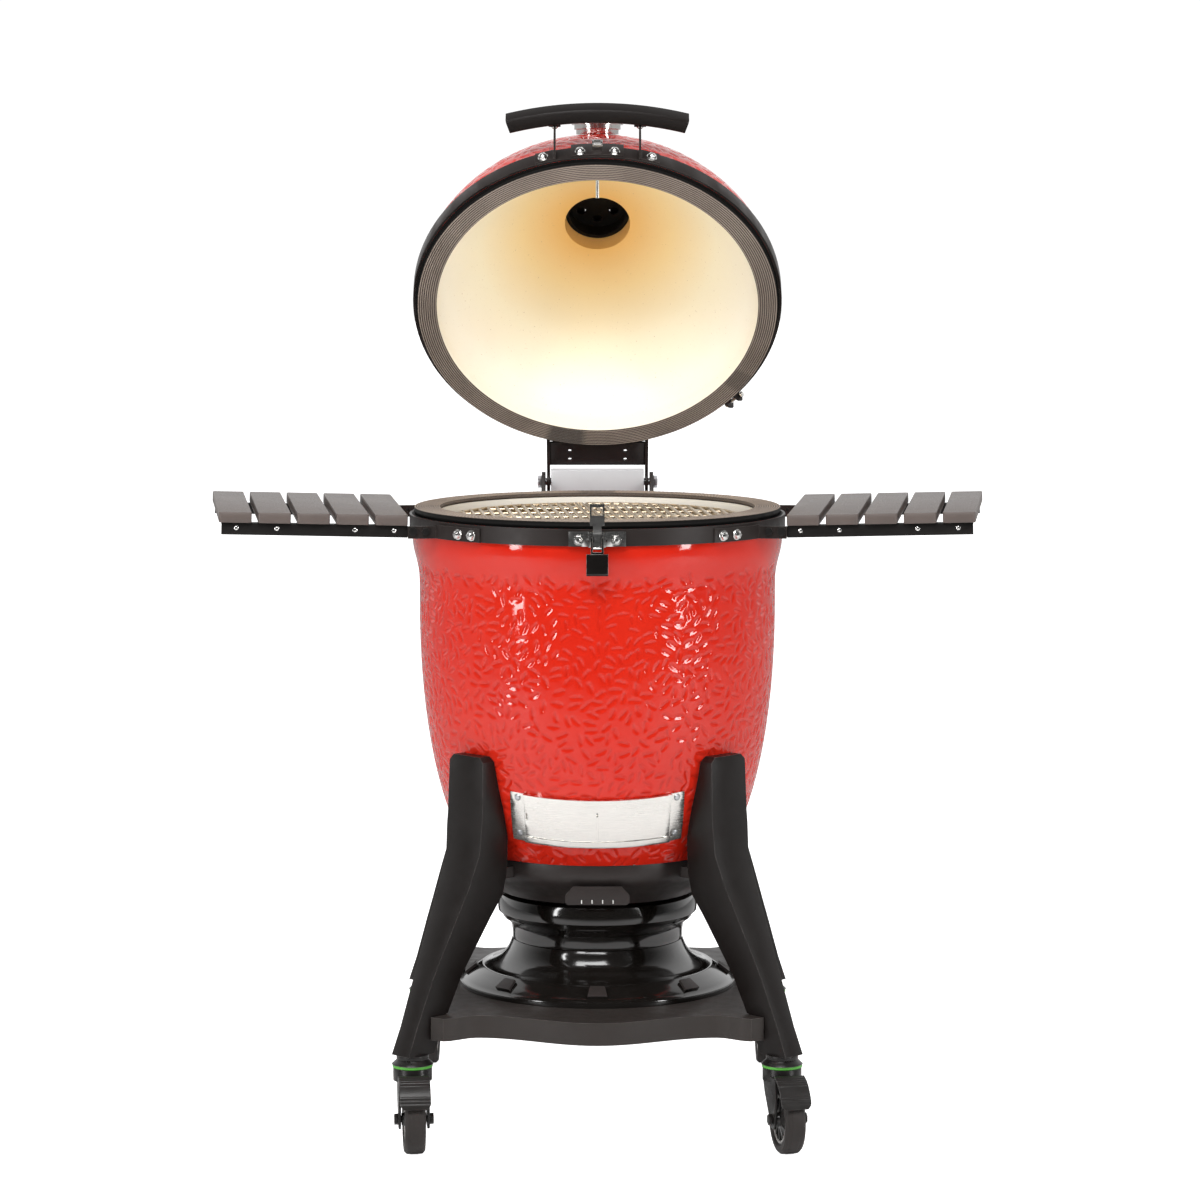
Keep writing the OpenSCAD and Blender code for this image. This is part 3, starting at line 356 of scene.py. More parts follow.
def make_brushed(name, colour, rough, stretch, strength=0.12):
    m, nodes, links = shader(name)
    b = nodes["Principled BSDF"]
    lines = noise(nodes, links, 60, 3.0, stretch)
    smear = noise(nodes, links, 11, 4.0)
    lo, hi = [c * 0.88 for c in colour], [min(1, c * 1.08) for c in colour]
    tone = ramp(nodes, links, lines, [(0.3, lo), (0.7, hi)])
    tone = mix(nodes, links, ramp(nodes, links, smear, [(0.45, grey(0.0)), (0.75, grey(0.3))]), tone, [c * 0.8 for c in colour])
    links.new(tone, b.inputs["Base Color"])
    b.inputs["Metallic"].default_value = 1.0
    links.new(ramp(nodes, links, mix(nodes, links, 0.5, lines, smear), [(0.3, grey(rough - 0.06)), (0.7, grey(rough + 0.1))]), b.inputs["Roughness"])
    links.new(bump(nodes, links, lines, strength, 0.0002), b.inputs["Normal"])
    return m


MATS = {
    "glaze": make_glaze(),
    "cream": make_cream(),
    "gasket": make_gasket(),
    "band": finish_of("black_band", (0.024, 0.0185, 0.017), 0.40, fine=1600, edge_wear_and_glint=(0.14, 0.125, 0.115), grain=0.2, ior=1.32),
    "ink": finish_of("black_cord", (0.006, 0.0055, 0.005), 0.7, fine=900, grain=0.5, depth=0.0004, ior=1.25),
    "zinc": make_brushed("zinc_plate", (0.62, 0.63, 0.65), 0.34, (1, 18, 18)),
    "bright": make_brushed("bright_steel", (0.80, 0.79, 0.77), 0.16, (3, 20, 20), 0.05),
    "door": make_brushed("door_steel", (0.86, 0.84, 0.80), 0.24, (1, 1, 40)),
    "brick": finish_of("firebrick", (0.62, 0.43, 0.25), 0.85, vary=0.2, fine=260, coarse=9, grain=0.6, depth=0.001),
    "iron": finish_of("cast_iron", (0.008, 0.0075, 0.007), 0.62, ior=1.3, vary=0.25, fine=700, grain=0.6, depth=0.0008,
                      edge_wear_and_glint=(0.09, 0.085, 0.08)),
    "grate": make_brushed("grate_rod", (0.60, 0.50, 0.37), 0.3, (12, 12, 12)),
    "collar": finish_of("collar_black", (0.030, 0.0240, 0.0225), 0.40, fine=1500, grain=0.2, edge_wear_and_glint=(0.06, 0.055, 0.05), ior=1.36),
    "gloss": finish_of("gloss_black", (0.0085, 0.007, 0.006), 0.13, fine=500, grain=0.06, rough_vary=0.05, coat=0.5),
    "cart": finish_of("cart_black", (0.0080, 0.0056, 0.0048), 0.40, fine=2200, grain=0.35, depth=0.0003,
                      edge_wear_and_glint=(0.22, 0.20, 0.19), ior=1.34),
    "shelf": finish_of("lower_shelf_black", (0.034, 0.028, 0.025), 0.45, fine=2200, grain=0.35, depth=0.0003,
                       edge_wear_and_glint=(0.22, 0.20, 0.19), ior=1.4),
    "cover": finish_of("cover_zinc", (0.78, 0.78, 0.79), 0.38, metal=0.35, vary=0.06, fine=300, grain=0.15,
                       stretch=(1, 18, 18)),
    # latch_black: the near-white edge colour is partly worn paint and partly a painted highlight along the edges
    "latch": finish_of("latch_black", (0.006, 0.005, 0.0045), 0.22, fine=900, grain=0.1, edge_wear_and_glint=(0.75, 0.73, 0.70)),
    "caster": finish_of("caster_black", (0.012, 0.0105, 0.010), 0.30, fine=1800, grain=0.2, edge_wear_and_glint=(0.20, 0.18, 0.17), ior=1.42),
    "green": finish_of("seal_green", (0.09, 0.42, 0.045), 0.35, fine=900, grain=0.1),
    "rubber": finish_of("wheel_rubber", (0.032, 0.027, 0.025), 0.55, ior=1.36, vary=0.22, fine=700, grain=0.5, depth=0.0006,
                        edge_wear_and_glint=(0.10, 0.09, 0.085)),
    "handle": finish_of("handle_black", (0.0105, 0.0078, 0.0070), 0.40, fine=1400, grain=0.3, edge_wear_and_glint=(0.05, 0.045, 0.04), ior=1.32),
    "slat": finish_of("shelf_slat", (0.125, 0.100, 0.090), 0.42, ior=1.4, fine=90, coarse=20, grain=0.3, depth=0.0004,
                      stretch=(14, 1, 14), edge_wear_and_glint=(0.16, 0.145, 0.135)),
    "rail": finish_of("shelf_rail", (0.009, 0.008, 0.0075), 0.42, fine=1500, grain=0.25, edge_wear_and_glint=(0.09, 0.08, 0.075), ior=1.34),
    "hub": finish_of("wheel_hub", (0.030, 0.028, 0.027), 0.3, fine=900, grain=0.15, edge_wear_and_glint=(0.09, 0.085, 0.08)),
    "rim": make_brushed("wheel_rim", (0.42, 0.40, 0.38), 0.28, (8, 8, 8), 0.05),
    "pedal": finish_of("brake_pedal", (0.020, 0.018, 0.017), 0.34, ior=1.4, fine=1400, grain=0.25, edge_wear_and_glint=(0.17, 0.16, 0.155)),
    "dial": finish_of("dial_white", (0.82, 0.81, 0.78), 0.4, vary=0.04, fine=900, grain=0.05),
    "needle": finish_of("needle_black", (0.015, 0.015, 0.015), 0.35, fine=900, grain=0.1),
}

CAD_LOOKS = {
    "band": ["base_band", "dome_band", "dome_catch", "hinge_bracket", "hinge_arm", "handle_brackets", "shelf_brackets"],
    "zinc": ["hinge_pin", "hinge_springs", "draft_screws", "leg_bolts"],
    "bright": ["latch_plate", "band_bolts", "dome_bolts", "latch_bail", "thermometer_case"],
    "latch": ["latch_lever"],
    "door": ["draft_frame", "draft_door"],
    "brick": ["firebox", "fire_ring"],
    "iron": ["charcoal_grate", "vent_base", "vent_dial"],
    "grate": ["cooking_rack", "left_grate", "right_grate"],
    "collar": ["collar", "scale_plate", "skirt_clips"],
    "gloss": ["air_bell", "ash_skirt"],
    "cart": ["legs"],
    "shelf": ["lower_shelf"],
    "cover": ["spring_cover"],
    "caster": ["caster_mounts", "front_left_fork", "front_right_fork", "rear_left_fork", "rear_right_fork",
               "front_left_brake", "front_right_brake"],
    "green": ["caster_seals"],
    "rubber": ["front_left_wheel", "front_right_wheel", "rear_left_wheel", "rear_right_wheel"],
    "handle": ["handle"],
    "slat": ["left_shelf_slats", "right_shelf_slats"],
    "rail": ["left_shelf_rails", "right_shelf_rails", "shelf_pivots"],
    "dial": ["thermometer_dial"],
    "needle": ["thermometer_needle"],
    "glaze": ["base_shell", "dome_shell"],
    "gasket": ["base_gasket", "dome_gasket"],
}
for look, names in CAD_LOOKS.items():
    for n in names:
        NODES[n].data.materials.clear()
        NODES[n].data.materials.append(MATS[look])


# ---------------------------------------------------------------- softened edges on CAD parts

def smooth_group():
    g = bpy.data.node_groups.new("smooth_by_angle", "GeometryNodeTree")
    g.interface.new_socket("Geometry", in_out="INPUT", socket_type="NodeSocketGeometry")
    g.interface.new_socket("Geometry", in_out="OUTPUT", socket_type="NodeSocketGeometry")
    i, o = g.nodes.new("NodeGroupInput"), g.nodes.new("NodeGroupOutput")
    face, edge = g.nodes.new("GeometryNodeSetShadeSmooth"), g.nodes.new("GeometryNodeSetShadeSmooth")
    face.domain, edge.domain = "FACE", "EDGE"
    edge.inputs["Shade Smooth"].default_value = False
    angle = g.nodes.new("GeometryNodeInputMeshEdgeAngle")
    over = g.nodes.new("FunctionNodeCompare")
    over.data_type, over.operation = "FLOAT", "GREATER_THAN"
    over.inputs[1].default_value = math.radians(32)
    g.links.new(angle.outputs["Unsigned Angle"], over.inputs[0])
    g.links.new(i.outputs[0], face.inputs["Geometry"])
    g.links.new(face.outputs["Geometry"], edge.inputs["Geometry"])
    g.links.new(over.outputs["Result"], edge.inputs["Selection"])
    g.links.new(edge.outputs["Geometry"], o.inputs[0])
    return g


SMOOTH = smooth_group()
EDGE = {"legs": 1.1, "lower_shelf": 2.0, "handle": 1.2, "left_shelf_slats": 1.4, "right_shelf_slats": 1.4,
        "collar": 0.8, "spring_cover": 1.5, "firebox": 2.0, "fire_ring": 2.0, "air_bell": 0.8, "ash_skirt": 0.6}


def soften(name, o):
    for attribute in ("custom_normal", "sharp_edge"):
        if attribute in o.data.attributes:
            o.data.attributes.remove(o.data.attributes[attribute])
    weld = o.modifiers.new("weld", "WELD")
    weld.merge_threshold = 2e-6
    bevel = o.modifiers.new("edges", "BEVEL")
    bevel.limit_method, bevel.angle_limit = "ANGLE", math.radians(32)
    bevel.width, bevel.segments = EDGE.get(name, 0.35) / 1000, 2
    o.modifiers.new("smooth", "NODES").node_group = SMOOTH


for n, o in NODES.items():
    soften(n, o)

# ---------------------------------------------------------------- ceramic shells

rng = np.random.default_rng(7)


def bezier(p, n):
    t = np.linspace(0, 1, n + 1)[:, None]
    p = np.array(p, float)
    return (1 - t) ** 3 * p[0] + 3 * t * (1 - t) ** 2 * p[1] + 3 * t * t * (1 - t) * p[2] + t ** 3 * p[3]


def resample(profile, step):
    p = np.array(profile, float)
    s = np.concatenate([[0], np.cumsum(np.linalg.norm(np.diff(p, axis=0), axis=1))])
    n = max(2, int(round(s[-1] / step)))
    at = np.linspace(0, s[-1], n + 1)
    return np.stack([np.interp(at, s, p[:, 0]), np.interp(at, s, p[:, 1])], -1)


def grains(profile, z_lo, z_hi, tries):
    """Seeded places and directions of the pressed grains on a surface of revolution."""
    p = resample(profile, 1.0)
    weight = p[:, 0] * ((p[:, 1] > z_lo) & (p[:, 1] < z_hi))
    tangent = np.gradient(p, axis=0)
    tangent /= np.linalg.norm(tangent, axis=1)[:, None]
    pick = rng.choice(len(p), tries, p=weight / weight.sum())
    around, tilt = rng.uniform(0, 2 * math.pi, tries), rng.uniform(0, math.pi, tries)
    r, z = p[pick, 0], p[pick, 1]
    centre = np.stack([r * np.sin(around), -r * np.cos(around), z], -1)
    east = np.stack([np.cos(around), np.sin(around), 0 * around], -1)
    north = np.stack([tangent[pick, 0] * np.sin(around), -tangent[pick, 0] * np.cos(around), tangent[pick, 1]], -1)
    along = east * np.cos(tilt)[:, None] + north * np.sin(tilt)[:, None]
    three = centre[:, None] + along[:, None] * np.array([-5.2, 0, 5.2])[None, :, None]
    cells, kept = {}, []
    for i in range(tries):
        key = tuple((centre[i] // 20).astype(int))
        near = [k for dx in (-1, 0, 1) for dy in (-1, 0, 1) for dz in (-1, 0, 1)
                for k in cells.get((key[0] + dx, key[1] + dy, key[2] + dz), ())]
        if near:
            gap = np.linalg.norm(three[near][:, :, None] - three[i][None, None], axis=-1).min()
            if gap < 8.2:
                continue
        cells.setdefault(key, []).append(i)
        kept.append(i)
    return centre[kept], along[kept], around[kept], z[kept], r[kept]


def pressed(profile, found, depth, angle0, angle1, turns):
    """Part of a surface of revolution with lens-shaped grains pressed into it."""
    p = np.array(profile, float)
    tangent = np.gradient(p, axis=0)
    tangent /= np.linalg.norm(tangent, axis=1)[:, None]
    outward = np.stack([tangent[:, 1], -tangent[:, 0]], -1)
    a = np.radians(np.linspace(angle0, angle1, turns + 1))
    base = np.stack([p[:, :1] * np.sin(a), -p[:, :1] * np.cos(a), p[:, 1:] + 0 * a], -1)
    push = np.zeros(base.shape[:2])
    lo, hi = math.radians(angle0), math.radians(angle1)
    for centre, along, around, z, r in zip(*found):
        for shift in (0, -2 * math.pi):
            w = 11 / max(r, 20)
            j0, j1 = np.searchsorted(a, [around + shift - w, around + shift + w])
            if j1 <= j0 or around + shift + w < lo or around + shift - w > hi:
                continue
            near = np.where(np.linalg.norm(p - [r, z], axis=1) < 11)[0]
            if not len(near):
                continue
            i0, i1 = near[0], near[-1] + 1
            d = base[i0:i1, j0:j1] - centre
            u = d @ along
            v2 = np.maximum((d * d).sum(-1) - u * u, 0)
            half = 4.0 * np.clip(1 - (u / 9.4) ** 2, 0, 1) ** 0.8
            inside = np.clip(1 - v2 / np.maximum(half, 1e-6) ** 2, 0, 1) * (half > 0)
            push[i0:i1, j0:j1] = np.maximum(push[i0:i1, j0:j1], inside ** 0.75)
    move = depth * push
    base[..., 0] -= move * outward[:, :1] * np.sin(a)
    base[..., 1] += move * outward[:, :1] * np.cos(a)
    base[..., 2] -= move * outward[:, 1:]
    return base.reshape(-1, 3), grid_faces(len(p), turns + 1, False)


belly = np.vstack([
    bezier([(199, 419), (228.93, 450), (272, 576), (272, 790)], 60),
    bezier([(272, 826), (272, 864), (283, 868), (283, 905)], 24),
    [(283, 932)],
])
CELL = 2.25
belly = resample(belly, CELL)
found = grains(belly, 424, 856, 26000)
turns = int(math.pi * 272 / CELL)
WINDOW, WINDOW_Z = 25.0, (465.5, 514.5)


def cut_window(points, faces):
    """Leaves out the faces in the draft door's opening."""
    a = np.degrees(np.arctan2(points[:, 0], -points[:, 1]))
    mid_a, mid_z = a[faces].mean(1), points[faces, 2].mean(1)
    behind = points[faces, 1].mean(1) > 0
    return faces[behind | (np.abs(mid_a) > WINDOW) | (mid_z < WINDOW_Z[0]) | (mid_z > WINDOW_Z[1])]


pts, fcs = pressed(belly, found, 1.25, -90, 90, turns)
piece("bowl_glaze_front", pts, cut_window(pts, fcs), "cart_and_bowl", MATS["glaze"],
      replaces=["base_shell"], smooth=0)
pts, fcs = pressed(belly, found, 1.25, 90, 270, turns)
piece("bowl_glaze_rear", pts, fcs, "cart_and_bowl", MATS["glaze"],
      replaces=["base_shell"], smooth=0)

bowl_in = [(r - 28, z) for r, z in resample(belly, 12) if 446 < z < 890]
pts, fcs = lathe([(283, 932), (276.7, 932), (276.7, 939.4), (243.3, 939.4), (243.3, 935.7), (240.5, 935.7), (241, 922)]
                 + bowl_in[::-1] + [(90, 445), (90, 419), (199, 419)], 192)
o = piece("bowl_inside", pts, cut_window(pts, fcs), "cart_and_bowl", MATS["cream"], replaces=["base_shell"])
paint(o, MATS["ink"], range(2 * 192))

dome_t = np.radians(np.linspace(0, math.degrees(math.acos(52 / RIM_R)), 90))
dome_out = np.vstack([[(283, 955.2)], np.stack([
    RIM_R * np.cos(dome_t), DOME_TOP + DOME_RISE * np.sin(dome_t) ** (2 / 1.5)], -1)])
dome_out = resample(dome_out, CELL)
found = grains(dome_out, 988, 1190, 26000)
for name, a0 in (("dome_glaze_front", -90), ("dome_glaze_rear", 90)):
    pts, fcs = pressed(dome_out, found, 1.25, a0, a0 + 180, turns)
    piece(name, pts, fcs, "dome", MATS["glaze"], opened=True, replaces=["dome_shell"], smooth=0)
t_in = np.radians(np.linspace(math.degrees(math.acos(52 / 253)), 0, 60))
dome_in = np.stack([253 * np.cos(t_in), DOME_TOP + 185 * np.sin(t_in) ** (2 / 1.5)], -1)
pts, fcs = lathe([tuple(dome_out[-1])] + [tuple(q) for q in dome_in]
                 + [(250.6, 946.5), (276.7, 946.5), (276.7, 955.2), (283, 955.2)], 192)
o = piece("dome_inside", pts, fcs, "dome", MATS["cream"], opened=True, replaces=["dome_shell"])
paint(o, MATS["ink"], range(len(fcs) - 2 * 192, len(fcs)))

# ---------------------------------------------------------------- gaskets

def gasket(name, inner, cords, top_z, up, body, opened, node, side_z, fold_z, splices):
    """A woven ring of cords lying side by side, each twisted, with a plain outer strip."""
    per, turns = 6, 720
    r = np.linspace(inner + 0.2, 279.8, cords * per + 1)
    a = 2 * math.pi * np.arange(turns) / turns
    phase = (r - r[0]) / (r[-1] - r[0]) * cords
    cord = np.floor(np.clip(phase, 0, cords - 1e-6))
    crown = np.abs(np.sin(math.pi * phase))
    twist = 0.5 + 0.5 * np.cos(240 * a[None, :] + (cord * math.pi)[:, None] + 2.4 * (phase - cord)[:, None])
    drop = 0.1 + 1.5 * (1 - crown)[:, None] ** 1.5 + 0.3 * twist
    z = top_z - up * drop
    ring = np.stack([r[:, None] * np.sin(a), -r[:, None] * np.cos(a), z], -1)
    low = top_z - up * 3.0
    skirt = [(280.0, top_z - up * 1.2), (280.0, side_z), (277.2, side_z), (277.2, low), (inner + 2.8, low),
             (inner + 2.8, fold_z), (inner, fold_z), (inner, top_z - up * 1.2)]
    rest, _ = lathe(skirt, turns)
    points = np.vstack([ring.reshape(-1, 3), rest])
    rows = len(r) + len(skirt)
    faces = [list(f) for f in grid_faces(rows, turns)]
    j = np.arange(turns)
    last = (rows - 1) * turns
    faces += [[last + i, last + (i + 1) % turns, (i + 1) % turns, i] for i in j]
    o = piece(name, points, faces, body, MATS["gasket"], opened=opened, replaces=[node], smooth=0)
    plain = np.full(len(rest), 0.4)
    spread = np.degrees(a)[None, :] + 0 * r[:, None]
    dark = sum(np.clip(1.5 - np.abs(spread - at) / half, 0, 0.5) * 2 * amount for at, half, amount in splices)
    # cord is high on the crowns and low in the grooves, where the gasket material paints shade near black
    for word, values in (("cord", (0.94 * crown[:, None] + 0.06 * twist).ravel()), ("splice", (0 * spread + dark).ravel())):
        o.data.attributes.new(word, "FLOAT", "POINT").data.foreach_set(
            "value", np.concatenate([values, plain if word == "cord" else 0 * plain]).astype("f"))
    paint(o, MATS["ink"], range((len(r) - 1) * turns, (len(r) + 2) * turns))


gasket("base_gasket_weave", 240, 11, 943.0, 1, "cart_and_bowl", False, "base_gasket", 932.4, 936.1, [(180, 5.2, 0.6)])
gasket("dome_gasket_weave", 250, 9, 943.2, -1, "dome", True, "dome_gasket", 954.8, 946.0, [(191, 5.0, 0.85), (123, 3.2, 0.5)])

# ---------------------------------------------------------------- cooking grate

def split_grate(side):
    b = Build()
    z, wire, gap, radius, turn = 926.0, 2.7, 3.2, 218.5, 5.5
    half = math.acos(gap / radius)
    arc = np.linspace(-half, half, 60)
    rim = np.stack([side * radius * np.cos(arc), radius * np.sin(arc), 0 * arc + z], -1)
    rim = np.vstack([rim, [[side * gap, radius * math.sin(half), z]]])
    chord = np.linspace(radius * math.sin(half), -radius * math.sin(half), 60)[1:-1]
    straight = np.stack([0 * chord + side * gap, chord, 0 * chord + z], -1)
    b.tube(turn_z(np.vstack([rim, straight]), turn), 2.7, 10, closed=True)
    pitch = 14.4
    for i in range(1, int(radius / pitch) + 1):
        x = gap + i * pitch - 4
        y = math.sqrt(max(0, radius ** 2 - x * x))
        if y < 12:
            continue
        b.tube(turn_z([[side * x, -y, z + 0.6], [side * x, 0, z + 0.6], [side * x, y, z + 0.6]], turn), wire, 8)
    for y in (-150, -75, 0, 75, 150):
        x = math.sqrt(radius ** 2 - y * y)
        b.tube(turn_z([[side * at, y, z - 1.0] for at in (gap, x / 2, x)], turn), 1.9, 8)
    word = "left" if side < 0 else "right"
    piece(word + "_grate_wires", np.vstack(b.points), b.faces, word + "_grate", MATS["grate"],
          replaces=[word + "_grate"])


split_grate(-1)
split_grate(1)

# ---------------------------------------------------------------- casters

CASTERS = {"front_left": (-274, -274, 5.7), "front_right": (274, -274, 13.0),
           "rear_left": (-274, 274, 179.0), "rear_right": (274, 274, 181.0)}
AXLE = (0.0, -30.0, 59.0)


def at_caster(points, name):
    x, y, turn = CASTERS[name]
    return turn_z(points, turn) + [x, y, 0]


def round_profile(points, radius, steps=4):
    """Rounds the corners of an open profile."""
    p = np.array(points, float)
    out = [p[0]]
    for i in range(1, len(p) - 1):
        a, b = p[i - 1] - p[i], p[i + 1] - p[i]
        la, lb = np.linalg.norm(a), np.linalg.norm(b)
        cut = min(radius, la * 0.45, lb * 0.45)
        start, end = p[i] + a / la * cut, p[i] + b / lb * cut
        for t in np.linspace(0, 1, steps + 1):
            out.append((1 - t) ** 2 * start + 2 * t * (1 - t) * p[i] + t * t * end)
    return np.array(out + [p[-1]])


def wheel(name):
    body = name + "_wheel"
    tyre = round_profile([
        (37.6, -11.4), (41, -15.4), (47.6, -15.4), (51.3, -11.6), (51.6, -6.2), (51.95, -5.6), (51.95, 5.6),
        (51.6, 6.2), (51.3, 11.6), (47.6, 15.4), (41, 15.4), (37.6, 11.4)
    ], 1.2)
    b = Build().revolve(np.vstack([tyre, tyre[:1]]), AXLE, (1, 0, 0), 96)
    piece(name + "_tyre", at_caster(np.vstack(b.points), name), b.faces, body, MATS["rubber"],
          replaces=[name + "_wheel"])
    hub = round_profile([
        (5.1, -18.2), (9.6, -18.2), (10.6, -13.4), (14, -12.4), (31, -9.2), (34, -11.6), (37.5, -12.4),
        (37.5, 12.4), (34, 11.6), (31, 9.2), (14, 12.4), (10.6, 13.4), (9.6, 18.2), (5.1, 18.2)
    ], 0.9, 3)
    b = Build().revolve(np.vstack([hub, hub[:1]]), AXLE, (1, 0, 0), 72)
    for k in range(10):
        a = math.radians(36 * k)
        for s in (-1, 1):
            rib = Build().box((s * 11.2 - 1.6, -1.1, 11), (s * 11.2 + 1.6, 1.1, 34), 0.5)
            p = np.vstack(rib.points)
            p = np.stack([p[:, 0], p[:, 1] * math.cos(a) - p[:, 2] * math.sin(a),
                          p[:, 1] * math.sin(a) + p[:, 2] * math.cos(a)], -1) + AXLE
            b.add(p, rib.faces)
    piece(name + "_hub", at_caster(np.vstack(b.points), name), b.faces, body, MATS["hub"],
          replaces=[name + "_wheel"])
    b = Build()
    for s in (-1, 1):
        ring = round_profile([(31.2, s * 9.5), (31.6, s * 12.6), (35.4, s * 13.2), (35.8, s * 11.8)], 0.6, 3)
        b.revolve(np.vstack([ring, ring[:1]]), AXLE, (1, 0, 0), 72)
    piece(name + "_rim", at_caster(np.vstack(b.points), name), b.faces, body, MATS["rim"])


def pedal(name):
    outer = resample(bezier([(-38.5, 125.6), (-62, 124), (-80, 104), (-83.8, 84.4)], 40), 0.8)
    tangent = np.gradient(outer, axis=0)
    tangent /= np.linalg.norm(tangent, axis=1)[:, None]
    out = np.stack([tangent[:, 1], -tangent[:, 0]], -1)
    out *= np.sign(out @ np.array([-1.0, 0.6]))[:, None]
    s = np.linspace(0, 1, len(outer))
    dip = 0 * s
    for at in (0.10, 0.18, 0.26, 0.34):
        dip += 0.9 * np.exp(-((s - at) / 0.016) ** 2)
    dip += 0.5 * ((s > 0.42) & (s < 0.70))
    for at in (0.77, 0.86):
        dip += 0.8 * np.exp(-((s - at) / 0.016) ** 2)
    top = outer - out * (0.2 + dip)[:, None]
    under = outer - out * 4.2
    half = 22.8 - 5.5 * np.clip((s - 0.86) / 0.14, 0, 1) ** 1.6
    rails = np.stack([
        np.stack([-half, top[:, 0], top[:, 1]], -1), np.stack([half, top[:, 0], top[:, 1]], -1),
        np.stack([half, under[:, 0], under[:, 1]], -1), np.stack([-half, under[:, 0], under[:, 1]], -1)
    ], 1)
    b = Build()
    faces = [list(f) for f in grid_faces(len(s), 4)]
    b.add(rails.reshape(-1, 3), faces + [[3, 2, 1, 0], [4 * len(s) - 4, 4 * len(s) - 3, 4 * len(s) - 2, 4 * len(s) - 1]])
    for x in (-16, 12):
        ear = [(-34.5, 118), (-36, 123), (-40, 123.4), (-44, 122), (-58, 117.2), (-46, 113.2), (-40, 112.4), (-36, 114)]
        n = len(ear)
        points = [(x, y, z) for y, z in ear] + [(x + 4, y, z) for y, z in ear]
        sides = [[i, (i + 1) % n, n + (i + 1) % n, n + i] for i in range(n)]
        b.add(points, [list(range(n)), list(range(n, 2 * n))[::-1]] + sides)
    o = piece(name + "_pedal", at_caster(np.vstack(b.points), name), b.faces, name + "_brake",
              MATS["pedal"], replaces=[name + "_brake"])
    round_edges(o, 0.7)


def round_edges(o, width, segments=2, angle=32):
    bevel = o.modifiers.new("edges", "BEVEL")
    bevel.limit_method, bevel.angle_limit = "ANGLE", math.radians(angle)
    bevel.width, bevel.segments = width / 1000, segments
    o.modifiers.new("smooth", "NODES").node_group = SMOOTH


for caster_name in CASTERS:
    wheel(caster_name)
for caster_name in ("front_left", "front_right"):
    pedal(caster_name)

# ---------------------------------------------------------------- hinge springs, screws, scale marks

def helix_spring(side):
    b = Build()
    t = np.linspace(0, 1, 420)
    a = 2 * math.pi * 10.5 * t
    x = side * (13 + 52 * t)
    path = np.stack([x, 363 + 10.5 * np.cos(a), 950 + 10.5 * np.sin(a)], -1)
    tail = np.array([[side * 65.5, 363 + 10.5 * math.cos(a[-1]), 950 + 10.5 * math.sin(a[-1])]])
    return b.tube(np.vstack([path, tail]), 2.05, 10)


b = Build()
for s in (-1, 1):
    coil = helix_spring(s)
    b.add(np.vstack(coil.points), coil.faces)
piece("hinge_spring_coils", np.vstack(b.points), b.faces, "cart_and_bowl", MATS["zinc"], replaces=["hinge_springs"])

b = Build()
for k in (-1.5, -0.5, 0.5, 1.5):
    x = 15.7 * k
    b.box((x - 0.7, -205.9, 363.2), (x + 0.7, -205.4, 368.6), 0.1)
piece("scale_marks", np.vstack(b.points), b.faces, "cart_and_bowl", MATS["dial"])

SHELF_YAW, SHELF_TILT, SHELF_CORNER, SHELF_Z, HINGE_IN = math.radians(6.84), math.radians(1.65), (-282, -170), 918, 8


def at_shelf(points, side):
    """From a shelf's own frame: x outward from the pivot, y front to back, z up. side is 1 on the left."""
    p = np.array(points, float).reshape(-1, 3)
    x, y, z = p.T
    x, z = (x * math.cos(SHELF_TILT) - z * math.sin(SHELF_TILT), x * math.sin(SHELF_TILT) + z * math.cos(SHELF_TILT))
    c, s = math.cos(SHELF_YAW), math.sin(SHELF_YAW)
    u = x - HINGE_IN
    return np.stack([side * (SHELF_CORNER[0] - u * c - y * s), SHELF_CORNER[1] - u * s + y * c, SHELF_Z + z], -1)


def screw_head(at, axis, radius=3.2, height=1.3):
    """A domed head with a round recess."""
    prof = [(radius, 0.0), (radius * 0.96, height * 0.5), (radius * 0.7, height * 0.85),
            (radius * 0.36, height), (radius * 0.3, height * 0.45), (0.01, height * 0.4)]
    return Build().revolve(prof, at, axis, 20)


for side, word in ((1, "left"), (-1, "right")):
    b = Build()
    for x in (28, 86, 202, 262):
        head = screw_head((x, 7.0, 0.0), (0, -1, 0))
        b.add(np.vstack(head.points), head.faces)
        head = screw_head((x, 371.0, 0.0), (0, 1, 0))
        b.add(np.vstack(head.points), head.faces)
    piece(word + "_shelf_screws", at_shelf(np.vstack(b.points), side), b.faces, word + "_shelf", MATS["bright"])

b = Build()
b.box((-8, -303.6, 965.6), (8, -291, 969.4), 0.6)
b.box((-8, -303.6, 965.6), (-4.6, -300.0, 975.6), 0.6)
b.box((4.6, -303.6, 965.6), (8, -300.0, 975.6), 0.6)
b.box((-8, -303.6, 972.2), (8, -300.0, 975.6), 0.6)
piece("dome_catch_hook", np.vstack(b.points), b.faces, "dome", MATS["bright"], opened=True)

lip = round_profile([(6.3, 0.0), (8.9, 0.0), (8.9, 2.4), (6.3, 2.4), (6.3, 0.0)], 0.5, 2)
b = Build()
for k in range(6):
    a = math.radians(60 * k)
    b.revolve(lip, (30 * math.cos(a), 30 * math.sin(a), DOME_TOP + DOME_RISE + 24.6), (0, 0, 1), 32)
piece("vent_dial_lips", np.vstack(b.points), b.faces, "vent_dial", MATS["iron"], opened=True)

# ---------------------------------------------------------------- studio

scene = bpy.context.scene
scene.view_settings.view_transform = "Standard"


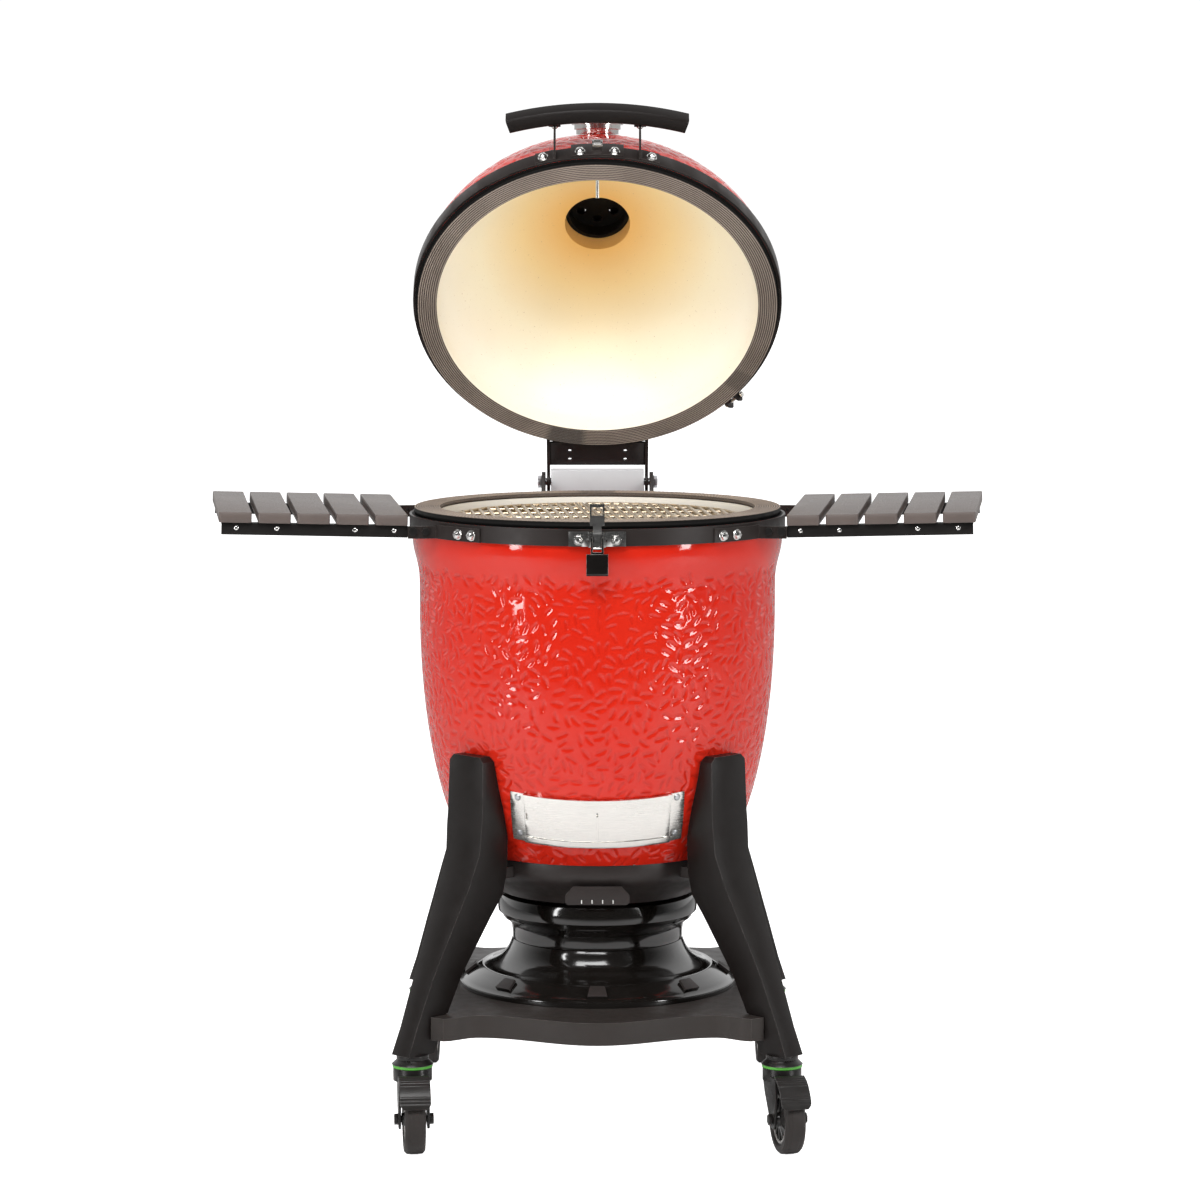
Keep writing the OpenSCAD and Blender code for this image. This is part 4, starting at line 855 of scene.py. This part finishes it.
def studio():
    floor = bpy.data.meshes.new("floor")
    floor.from_pydata([(-30, -30, 0), (30, -30, 0), (30, 30, 0), (-30, 30, 0)], [], [(0, 1, 2, 3)])
    o = bpy.data.objects.new("floor", floor)
    scene.collection.objects.link(o)
    m, nodes, links = shader("pale_floor")
    b = nodes["Principled BSDF"]
    tone = ramp(nodes, links, noise(nodes, links, 2, 3.0), [(0.3, grey(0.90)), (0.7, grey(0.93))])
    where, split, near = (nodes.new("ShaderNode" + k) for k in ("TexCoord", "SeparateXYZ", "MapRange"))
    links.new(where.outputs["Object"], split.inputs[0])
    links.new(split.outputs["Y"], near.inputs["Value"])
    near.inputs["From Min"].default_value, near.inputs["From Max"].default_value = -3.2, -1.2
    links.new(mix(nodes, links, near.outputs[0], grey(0.12), tone), b.inputs["Base Color"])
    b.inputs["Roughness"].default_value = 0.8
    b.inputs["Emission Color"].default_value = (1, 1, 1, 1)
    links.new(nodes.new("ShaderNodeLightPath").outputs["Is Camera Ray"], b.inputs["Emission Strength"])
    floor.materials.append(m)

    world = bpy.data.worlds.new("studio")
    scene.world = world
    world.use_nodes = True
    nodes, links = world.node_tree.nodes, world.node_tree.links
    nodes.clear()
    out = nodes.new("ShaderNodeOutputWorld")
    white, room = nodes.new("ShaderNodeBackground"), nodes.new("ShaderNodeBackground")
    white.inputs["Color"].default_value = (1, 1, 1, 1)
    white.inputs["Strength"].default_value = 1.05
    where = nodes.new("ShaderNodeTexCoord")
    split = nodes.new("ShaderNodeSeparateXYZ")
    links.new(where.outputs["Generated"], split.inputs[0])
    front = nodes.new("ShaderNodeMapRange")
    front.inputs["From Min"].default_value = -1.0
    front.inputs["From Max"].default_value = 0.55
    links.new(split.outputs["Y"], front.inputs["Value"])
    links.new(ramp(nodes, links, front.outputs[0], [(0.0, grey(0.05)), (0.55, grey(0.12)), (1.0, grey(1.0))]),
              room.inputs["Color"])
    room.inputs["Strength"].default_value = 1.0
    path, blend = nodes.new("ShaderNodeLightPath"), nodes.new("ShaderNodeMixShader")
    links.new(path.outputs["Is Camera Ray"], blend.inputs[0])
    links.new(room.outputs[0], blend.inputs[1])
    links.new(white.outputs[0], blend.inputs[2])
    links.new(blend.outputs[0], out.inputs[0])

    def softbox(name, at, aim, size, power):
        light = bpy.data.lights.new(name, "AREA")
        light.shape, light.size, light.size_y, light.energy = "RECTANGLE", size[0], size[1], power
        o = bpy.data.objects.new(name, light)
        scene.collection.objects.link(o)
        o.location = at
        o.rotation_mode = "QUATERNION"
        o.rotation_quaternion = (Vector(aim) - Vector(at)).to_track_quat("-Z", "Y")
        return o

    softbox("top_box", (-0.4, -2.4, 3.4), (0, 0, 0.8), (2.2, 1.2), 84)
    softbox("left_box", (-2.3, -2.0, 1.4), (0, 0, 0.7), (0.35, 2.0), 36)
    softbox("right_box", (2.4, -1.8, 1.4), (0, 0, 0.7), (0.35, 2.0), 36)
    for name, at, aim, power, on in (("dome_fill", (0, -2.6, 0.9), (0, 0.1, 1.25), 23, "dome_inside"),
                                     ("bowl_fill", (0, -2.2, 2.2), (0, 0.2, 0.9), 26, "bowl_inside")):
        fill = softbox(name, at, aim, (1.2, 1.0), power)
        lit = bpy.data.collections.new(name + "_on")
        lit.objects.link(bpy.data.objects[on])
        fill.light_linking.receiver_collection = lit


studio()
camera = bpy.data.cameras.new("camera")
camera.lens, camera.sensor_width = 122.1, 36.0
eye = bpy.data.objects.new("camera", camera)
scene.collection.objects.link(eye)
eye.location = (0.004, -6.2204, 1.468)
eye.rotation_euler = (math.radians(83.76), 0, 0)
scene.camera = eye
